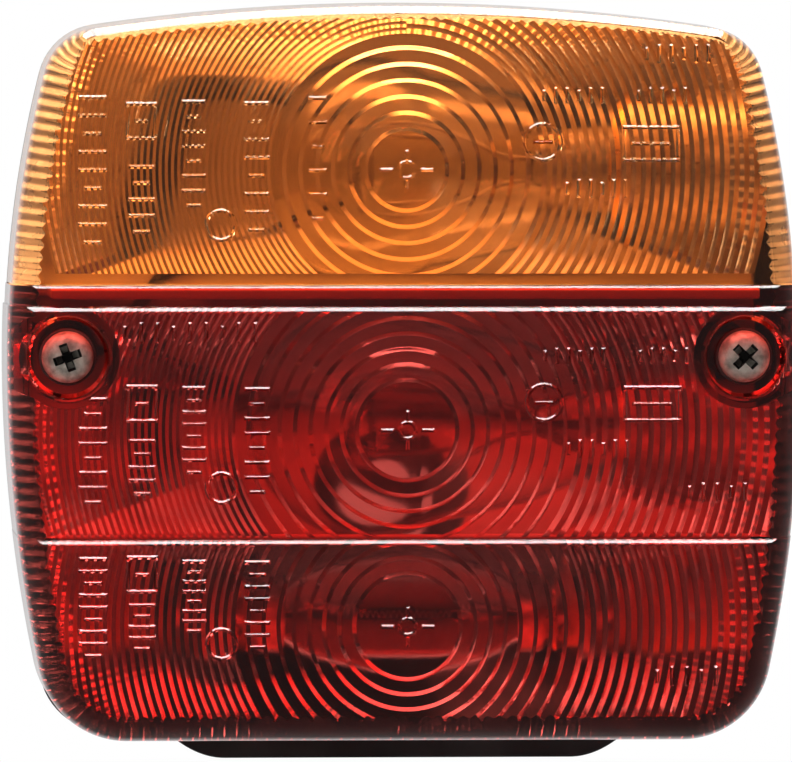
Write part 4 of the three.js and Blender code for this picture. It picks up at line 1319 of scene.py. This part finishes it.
def bulb_glass(y):
    radius, tip, neck = GLASS["radius"], GLASS["tip"], GLASS["neck"]

    def side(shrink):
        run = []
        for turn in range(0, 127, 6):
            angle = math.radians(turn)
            r = radius - shrink
            run.append((r * math.sin(angle), tip + radius - r * math.cos(angle)))
        steps = ((2.4, 17.5), (1, 22), (0, 25.5), (0, 34.8))
        return run + [(neck + more - shrink, along) for more, along in steps]

    profile = side(0) + side(GLASS["wall"])[::-1]
    points = [(r, FILAMENT_X + t) for r, t in profile]
    return lathe(points, (0, y, BULB_DEPTH), "x", 72)


CAP_SECTION = [
    (6.8, 24.8),
    (7.5, 24.8),
    (7.5, 27.2),
    (7.3, 27.6),
    (7.3, 28.4),
    (7.5, 28.8),
    (7.5, 36.4),
    (6.8, 37.2),
    (6.8, 24.8),
]


def bulb_cap(y):
    shell = on_bulb(CAP_SECTION, y, 0.18)
    for side in (-1, 1):
        ends = sorted((y + side * 6.9, y + side * 8.9))
        section = [(0, ends[0]), (1, ends[0]), (1, ends[1]), (0, ends[1])]
        join(shell, eased_bar(section, 0.3, (FILAMENT_X + PIN_AT, 0, BULB_DEPTH), "y", 32))
    return shell


def bulb_insulator(y):
    return on_bulb([(0, 35.9), (6.4, 35.9), (6.4, 37.3), (3.2, 37.8), (0, 37.8)], y, 0.3)


def bulb_solder(y):
    return on_bulb([(0, 37.7), (2.7, 37.85), (2.4, 38.4), (0, 38.7)], y, 0.5)


def bulb_stem(y):
    section = [(0, 17.6), (1.6, 17.8), (2.1, 19.5), (3.4, 22.5), (3.6, 25), (3.6, 35.4), (0, 35.4)]
    return on_bulb(section, y, 0.6)


def bulb_wires(y):
    spread = 3.6
    pieces = []
    for side in (-1, 1):
        post = [
            (FILAMENT_X + 18.4, y + side * 1.2, BULB_DEPTH),
            (FILAMENT_X + 14, y + side * 1.5, BULB_DEPTH),
            (FILAMENT_X + 9, y + side * 3, BULB_DEPTH),
            (FILAMENT_X + 1.5, y + side * spread, BULB_DEPTH),
            (FILAMENT_X - 0.3, y + side * spread, BULB_DEPTH),
        ]
        pieces.append(wire(smooth_path(post), 0.28))
    turns = coil((-2.9, 0, 0), 2.9, 0.42, 0.42, 13, 16)
    path = [(FILAMENT_X + u, y + along, BULB_DEPTH + v) for along, u, v in turns]
    first, last = ((FILAMENT_X, y + side * spread, BULB_DEPTH) for side in (-1, 1))
    pieces.append(wire([first, *path, last], 0.09, 8))
    return pieces[0], pieces[1], pieces[2]


def bulb_holder(y):
    inner, outer, mouth, end = (HOLDER[k] for k in ("inner", "outer", "mouth", "end"))
    floor, hole = HOLDER["floor"], HOLDER["hole"]
    section = [
        (inner, mouth),
        (outer, mouth),
        (outer, end - 2.6),
        (6.8, end),
        (hole, end),
        (hole, end - floor),
        (6.2, end - floor),
        (inner, end - 3),
        (inner, mouth),
    ]
    shell = on_bulb(section, y, 0.2)
    room = math.degrees(PIN_ROOM / inner)
    spans = (
        (-room, BAYONET_TWIST + room, PIN_AT - PIN_ROOM, PIN_AT + BAYONET_PUSH + PIN_ROOM),
        (BAYONET_TWIST - room, BAYONET_TWIST + room, mouth - 1, PIN_AT),
    )
    for side in (1, -1):
        for turn0, turn1, near, far in spans:
            points = [(y, BULB_DEPTH)]
            for i in range(9):
                angle = math.radians(turn0 + (turn1 - turn0) * i / 8)
                c, s = side * 11 * math.cos(angle), side * 11 * math.sin(angle)
                points.append((y + c, BULB_DEPTH + s))
            cut(shell, drawn_out(points, FILAMENT_X + near, FILAMENT_X + far, "x"))
    return shell


def holder_bracket(y):
    left, right, half, thick = (BRACKET[k] for k in ("left", "right", "half", "thick"))
    floor = TRAY_FRONT + 0.1
    foot = eased_box((left, y - half, floor), (right, y + half, floor + thick), 0.2)
    web = eased_box((right - 1.2, y - half, floor), (right, y + half, BULB_DEPTH - 6), 0.2)
    saddle = eased_box((right - 10, y - 4, 14.6), (right, y + 4, BULB_DEPTH - 6), 0.2)
    body = join(foot, web, saddle)
    room = on_bulb([(0, 15), (HOLDER["outer"] + 0.1, 15), (HOLDER["outer"] + 0.1, 50), (0, 50)], y, 0.01)
    return cut(body, room, *[bar(RIVET_HOLE, floor - 1, floor + 2, (x, y)) for x in FOOT_RIVETS])


def contact_disc(y):
    back, face, radius = DISC["from"] + DISC["thick"], DISC["from"], DISC["radius"]
    rim = face + 0.25
    section = [(0, face), (2.6, face), (2.9, rim), (radius, rim), (radius, back), (0, back)]
    return on_bulb(section, y, 0.12)


def contact_spring(y):
    start = FILAMENT_X + DISC["from"] + DISC["thick"] + 0.5
    end = FILAMENT_X + HOLDER["end"] - HOLDER["floor"] - 0.5
    return wire(coil((start, y, BULB_DEPTH), end, 2.6, 5.2, 2.5), 0.25, 12)


def rivet(at, face):
    steps = ((0, -1), (1.2, -1), (1.2, 0), (2.2, 0), (2.15, 0.35), (1.5, 0.85), (0, 1))
    section = [(r, face + along) for r, along in steps]
    shank = bar(1.15, face - 3.4, face - 0.8, at, 32)
    return join(shank, eased_bar(section, 0.25, (*at, 0), "z", 48))


foot_face = TRAY_FRONT + BRACKET["thick"] + 0.2
for word, y in (("indicator", INDICATOR_Y), ("stop", STOP_Y)):
    bulb, contact = f"{word}_bulb", f"{word}_contact"
    place(bulb_glass(y), f"{bulb}_globe", BULB_GLASS, bulb, [f"{bulb}_glass"], 60)
    place(bulb_cap(y), f"{bulb}_brass_cap", BRASS, bulb, [f"{bulb}_cap"])
    place(bulb_insulator(y), f"{bulb}_cap_glass", VITRITE, bulb, [f"{bulb}_contact"])
    place(bulb_solder(y), f"{bulb}_solder", STEEL, bulb)
    place(bulb_stem(y), f"{bulb}_stem", BULB_GLASS, bulb, [f"{bulb}_filament"])
    for i, piece in enumerate(bulb_wires(y)):
        place(piece, f"{bulb}_wire_{i + 1}", TUNGSTEN, bulb, sharp=60)
    place(bulb_holder(y), f"{bulb}_holder_shell", STEEL, "base", [f"{bulb}_holder"])
    bracket = f"{word}_holder_bracket"
    place(holder_bracket(y), f"{bracket}_steel", STEEL, "base", [bracket])
    disc = f"{word}_contact_disc"
    place(contact_disc(y), f"{disc}_fibre", CREAM, contact, [disc])
    spring = f"{word}_contact_spring"
    coil_piece = place(contact_spring(y), f"{spring}_wire", STEEL, "base", [spring], 60)
    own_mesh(coil_piece)
    for i, x in enumerate(FOOT_RIVETS):
        node = f"{word}_bracket_rivet_{i + 1}"
        place(rivet((x, y), foot_face), f"{node}_steel", STEEL, "base", [node])

# ---- festoon bulb and its contacts --------------------------------------------------------------


def on_festoon(profile, radius, sides=64):
    at = (0, TAIL["y"], TAIL["z"])
    if profile[0] == profile[-1]:
        return eased_ring(profile[:-1], radius, at, "x", sides)
    return eased_bar(profile, radius, at, "x", sides)


def festoon_glass():
    half = [(5.2, 0), (5.2, 4), (4.9, 8), (4.2, 10.5), (3.1, 12.2), (3.1, 14.5)]
    outer = [(r, -x) for r, x in reversed(half[1:])] + half
    inner = [(r - 0.6, x) for r, x in reversed(outer)]
    return on_festoon(outer + inner + [outer[0]], 0.9)


def festoon_cap(side):
    profile = [
        (3.5, 12.7),
        (4.2, 12.7),
        (4.2, 15.3),
        (3.9, 15.8),
        (0.8, 18.9),
        (0, 18.9),
        (0, 17.9),
        (3.5, 15.5),
        (3.5, 12.7),
    ]
    points = [(r, side * x) for r, x in profile]
    body = rounded(points[:4], 0.2) + rounded(points[3:6], 0.4) + rounded(points[6:], 0.2)
    return lathe(body, (0, TAIL["y"], TAIL["z"]), "x", 64)


def festoon_filament():
    turns = coil((-6, TAIL["y"], TAIL["z"]), 6, 0.36, 0.36, 18, 14)
    lead_in = [(-14, TAIL["y"], TAIL["z"]), (-9, TAIL["y"] + 0.3, TAIL["z"])]
    lead_out = [(9, TAIL["y"] + 0.3, TAIL["z"]), (14, TAIL["y"], TAIL["z"])]
    return wire(lead_in + turns + lead_out, 0.09, 8)


BLADE = {"x0": 17.4, "x1": 17.9, "half": 4, "top": 32, "hole": 2.65}
TERMINAL = {"inner": 17.2, "outer": 30, "half": 4.5, "thick": 0.8}


def side_box(side, low, high, radius):
    x0, x1 = sorted((side * low[0], side * high[0]))
    return eased_box((x0, low[1], low[2]), (x1, high[1], high[2]), radius)


def tail_blade(side):
    """A flat spring with rounded corners and a round hole that the bulb's cone sits in."""
    foot = TRAY_FRONT + 1.3
    half, top = BLADE["half"], BLADE["top"]
    y = TAIL["y"]
    corners = [(y - half, foot), (y + half, foot), (y + half, top), (y - half, top)]
    x0, x1 = sorted((side * BLADE["x0"], side * BLADE["x1"]))
    strip = bevel(drawn_out(rounded(corners, 1.6, True, 6), x0, x1, "x"), 0.1)
    hole = on_festoon([(0, x0 - 1), (BLADE["hole"], x0 - 1), (BLADE["hole"], x1 + 1), (0, x1 + 1)], 0.01)
    return cut(strip, hole)


def tail_terminal(side):
    floor = TRAY_FRONT + 0.1
    half = TERMINAL["half"]
    low = (TERMINAL["inner"], TAIL["y"] - half, floor)
    high = (TERMINAL["outer"], TAIL["y"] + half, floor + TERMINAL["thick"])
    foot = side_box(side, low, high, 0.2)
    return cut(foot, bar(RIVET_HOLE, floor - 1, floor + 2, (side * TAIL_RIVET, TAIL["y"])))


terminal_face = TRAY_FRONT + TERMINAL["thick"] + 0.2
place(festoon_glass(), "tail_bulb_tube", BULB_GLASS, "tail_bulb", ["tail_bulb_glass"], 60)
filament = festoon_filament()
place(filament, "tail_bulb_coil", TUNGSTEN, "tail_bulb", ["tail_bulb_filament"], 60)
for side, x in (("left", -1), ("right", 1)):
    cap, blade = f"tail_bulb_cap_{side}", f"tail_contact_{side}"
    terminal, pin = f"tail_terminal_{side}", f"tail_rivet_{side}"
    place(festoon_cap(x), f"{cap}_metal", STEEL, "tail_bulb", [cap])
    place(tail_blade(x), f"{blade}_spring", BRASS, blade, [blade])
    place(tail_terminal(x), f"{terminal}_brass", BRASS, "base", [terminal])
    steel_rivet = rivet((x * TAIL_RIVET, TAIL["y"]), terminal_face)
    place(steel_rivet, f"{pin}_steel", STEEL, "base", [pin])

# ---- terminal block and leads -------------------------------------------------------------------

BLOCK_LOW, BLOCK_HIGH = lamp_box("terminal_block")
WAYS = [centre_of(f"terminal_screw_{i + 1}").x for i in range(4)]
WAY_Y = centre_of("terminal_screw_1").y
WAY_PITCH = WAYS[1] - WAYS[0]


def terminal_block():
    body = eased_box(BLOCK_LOW, BLOCK_HIGH, 0.35)
    for x in WAYS:
        cut(body, bar(2, 12.9, BLOCK_HIGH.z + 1, (x, WAY_Y)))
        for y0, y1 in ((BLOCK_LOW.y - 1, BLOCK_LOW.y + 1.6), (BLOCK_HIGH.y - 1.6, BLOCK_HIGH.y + 1)):
            mouth = lathe([(0, y0), (1.5, y0), (1.5, y1), (0, y1)], (x, 0, 12.6), "y", 32)
            cut(body, mouth)
    for x in WAYS[1:]:
        middle = x - WAY_PITCH / 2
        low = (middle - 0.4, BLOCK_LOW.y - 1, BLOCK_HIGH.z - 2)
        cut(body, box(low, (middle + 0.4, BLOCK_HIGH.y + 1, BLOCK_HIGH.z + 1)))
    return body


def terminal_screw(x):
    body = eased_bar([(0, 13.2), (1.6, 13.2), (1.6, 17.2), (0, 17.2)], 0.2, (x, WAY_Y, 0))
    return cut(body, box((x - 2, WAY_Y - 0.3, 16.5), (x + 2, WAY_Y + 0.3, 18)))


LEAD_RADIUS = 0.9
BLOCK_EDGES = (BLOCK_LOW.y - 0.4, BLOCK_HIGH.y + 0.4)
LEAD_Z = TRAY_FRONT + LEAD_RADIUS + 0.5
HOLDER_END = FILAMENT_X + HOLDER["end"]
LEADS = {
    "indicator_lead": [
        (WAYS[0], BLOCK_EDGES[1], 13),
        (-37.6, -3, 12.4),
        (-36.6, 4, 12),
        (-33.4, 9.4, LEAD_Z + 0.6),
        (-28, 13.4, LEAD_Z),
        (-10, 13.6, LEAD_Z),
        (12, 13.4, LEAD_Z),
        (30, 14, LEAD_Z),
        (41, 17.6, 13),
        (43, 22.6, 18),
        (43.4, 26.4, 22.4),
        (HOLDER_END + 0.4, 26.4, 25),
    ],
    "stop_lead": [
        (WAYS[1], BLOCK_EDGES[1], 13),
        (-31, -4, 12.4),
        (-26.6, 2.6, LEAD_Z),
        (-18, 6, LEAD_Z),
        (0, 7, LEAD_Z),
        (24, 6.6, LEAD_Z),
        (33.6, 4, LEAD_Z),
        (38.6, 0.6, 12),
        (41.6, -4, 14.4),
        (43.2, -6.8, 18),
        (43.4, -7.4, 22.4),
        (HOLDER_END + 0.4, -7, 25),
    ],
    "tail_lead": [
        (WAYS[2], BLOCK_EDGES[0], 12.6),
        (-26, -21.4, 12.2),
        (-26.2, -24.4, LEAD_Z),
        (-26.6, -27.4, LEAD_Z - 0.3),
    ],
    "earth_lead": [
        (WAYS[3], BLOCK_EDGES[1], 13),
        (-19.6, -7.4, 12.6),
        (-16.4, -5.8, 11.6),
        (-10, -5.6, LEAD_Z),
        (8, -6.6, LEAD_Z),
        (BRACKET["left"] - 0.4, -7, LEAD_Z),
    ],
}

place(terminal_block(), "terminal_block_body", CREAM, "base", ["terminal_block"])
for i, x in enumerate(WAYS):
    node = f"terminal_screw_{i + 1}"
    place(terminal_screw(x), f"{node}_brass", BRASS, node, [node])
for node, points in LEADS.items():
    material, slot = (LEAD_BROWN, "lead_brown") if node == "earth_lead" else (LEAD_BLACK, "lead_black")
    sleeve = wire(smooth_path(points), LEAD_RADIUS, 20)
    place(sleeve, f"{node}_sleeve", material, "base", [node], 60)

# ---- mounting bolts -----------------------------------------------------------------------------

BOLT = {"radius": 2.5, "behind": 16.0, "head": 3.5, "flats": 8.0, "seat": 4.1, "pitch": 0.8}
WASHER = {"from": 4.1, "thick": 1.0, "outer": 5.0, "hole": 2.7}
NUT_HEIGHT = 4.0


def mounting_bolt(x):
    seat, behind, radius = BOLT["seat"], BOLT["behind"], BOLT["radius"]
    head = hexagon(BOLT["flats"], seat, seat + BOLT["head"], (x, 0))
    shank = threaded_bar(radius, 0.3, BOLT["pitch"], 0.8 - behind, seat + 0.4, (x, 0))
    tip = lathe([(0, -behind), (1.7, -behind), (2.2, 0.9 - behind), (0, 0.9 - behind)], (x, 0, 0))
    return join(head, shank, tip)


def mounting_washer(x):
    z0, z1 = -WASHER["from"] - WASHER["thick"], -WASHER["from"]
    hole, outer = WASHER["hole"], WASHER["outer"]
    return eased_ring([(hole, z0), (outer, z0), (outer, z1), (hole, z1)], 0.15, (x, 0, 0))


def mounting_nut(x):
    front = -WASHER["from"] - WASHER["thick"] - 0.1
    body = hexagon(BOLT["flats"], front - NUT_HEIGHT, front, (x, 0))
    bore = BOLT["radius"] + 0.2
    back = front - NUT_HEIGHT
    mouth = [(0, back - 1), (bore + 1.5, back - 1), (bore, back + 0.5)]
    mouth += [(bore, front - 0.5), (bore + 1.5, front + 1), (0, front + 1)]
    return cut(body, lathe(mouth, (x, 0, 0)))


for side, sign in (("left", -1), ("right", 1)):
    bolt, washer, nut = (f"{side}_mounting_{piece}" for piece in ("bolt", "washer", "nut"))
    x = sign * BOLT_X
    place(mounting_bolt(x), f"{bolt}_steel", STEEL, "base", [bolt], 30)
    place(mounting_washer(x), f"{washer}_steel", STEEL, washer, [washer])
    place(mounting_nut(x), f"{nut}_steel", STEEL, nut, [nut], 30)

# ---- camera, floor and light --------------------------------------------------------------------

CAMERA = {"azimuth": -2.5, "elevation": 1.69, "distance": 0.95, "lens": 328.9}
CAMERA_TARGET = (-0.0007, -0.03, -0.00132)
FLOOR_DROP = 0.12


def look_at(obj, target):
    obj.rotation_euler = (Vector(target) - obj.location).to_track_quat("-Z", "Y").to_euler()


def camera():
    data = bpy.data.cameras.new("camera")
    obj = bpy.data.objects.new("camera", data)
    bpy.context.scene.collection.objects.link(obj)
    azimuth, elevation = math.radians(CAMERA["azimuth"]), math.radians(CAMERA["elevation"])
    away = Vector(
        (
            math.sin(azimuth) * math.cos(elevation),
            -math.cos(azimuth) * math.cos(elevation),
            math.sin(elevation),
        )
    )
    obj.location = Vector(CAMERA_TARGET) + away * CAMERA["distance"]
    look_at(obj, CAMERA_TARGET)
    data.lens = CAMERA["lens"]
    data.sensor_width = 36
    data.clip_start = 0.01
    bpy.context.scene.camera = obj


def floor():
    """A pale floor a little way below the lamp, which hangs on its bolts."""
    height = cad_box[0][2] - FLOOR_DROP
    size = 0.6
    corners = [(-size, -size), (size, -size), (size, size), (-size, size)]
    mesh = bpy.data.meshes.new("floor")
    mesh.from_pydata([(x, y, height) for x, y in corners], [], [(0, 1, 2, 3)])
    obj = bpy.data.objects.new("floor", mesh)
    bpy.context.scene.collection.objects.link(obj)
    pale = Nodes("floor")
    pale.set(Base_Color=(0.75, 0.75, 0.75, 1), Roughness=0.8)
    obj.data.materials.append(pale.material)
    obj.visible_glossy = False


def softbox(name, location, target, width, height, power):
    data = bpy.data.lights.new(name, "AREA")
    data.shape = "RECTANGLE"
    data.size = width
    data.size_y = height
    data.energy = power
    obj = bpy.data.objects.new(name, data)
    bpy.context.scene.collection.objects.link(obj)
    obj.location = location
    if target:
        look_at(obj, target)
    return obj


WORLD = {"seen": 1.0, "behind": 1.0, "room": 0.15, "reflected": 0.7, "shade": 0.15}


def world():
    """White where the camera looks past the lamp. For light that comes through the lamp, a white
    wall behind it and a dimmer room in front; for reflections, a wall that is white only straight
    behind."""
    scene = bpy.context.scene
    scene.world = bpy.data.worlds.new("studio")
    scene.world.use_nodes = True
    tree = scene.world.node_tree
    tree.nodes.clear()

    def fade(value, start, end, low, high):
        node = tree.nodes.new("ShaderNodeMapRange")
        for key, number in (("From Min", start), ("From Max", end), ("To Min", low), ("To Max", high)):
            node.inputs[key].default_value = number
        tree.links.new(value, node.inputs["Value"])
        return node.outputs[0]

    def background(strength):
        node = tree.nodes.new("ShaderNodeBackground")
        node.inputs["Color"].default_value = (1, 1, 1, 1)
        if isinstance(strength, float):
            node.inputs["Strength"].default_value = strength
        else:
            tree.links.new(strength, node.inputs["Strength"])
        return node.outputs[0]

    def choose(when, otherwise, then):
        node = tree.nodes.new("ShaderNodeMixShader")
        tree.links.new(path.outputs[when], node.inputs["Fac"])
        tree.links.new(otherwise, node.inputs[1])
        tree.links.new(then, node.inputs[2])
        return node.outputs[0]

    parts = tree.nodes.new("ShaderNodeSeparateXYZ")
    tree.links.new(tree.nodes.new("ShaderNodeTexCoord").outputs["Generated"], parts.inputs[0])
    path = tree.nodes.new("ShaderNodeLightPath")
    back = parts.outputs["Y"]
    cast = background(fade(back, -0.1, 0.35, WORLD["room"], WORLD["behind"]))
    mirrored = background(fade(back, 0.86, 0.985, WORLD["shade"], WORLD["reflected"]))
    shown = choose("Is Glossy Ray", cast, mirrored)
    shown = choose("Is Camera Ray", shown, background(WORLD["seen"]))
    output = tree.nodes.new("ShaderNodeOutputWorld")
    tree.links.new(shown, output.inputs["Surface"])


camera()
floor()
world()
softbox("overhead", (-0.05, -0.05, 0.62), None, 0.9, 0.28, 14)
rim_light = softbox("rim_light", (-0.1, 0.55, 0.42), (0, -0.03, 0), 0.7, 0.25, 12)
front_light = softbox("front_light", (-0.45, -1.1, 0.4), (0, 0, 0), 0.5, 0.5, 6)
for light in (rim_light, front_light):
    light.visible_glossy = False
bpy.context.scene.view_settings.view_transform = "Standard"
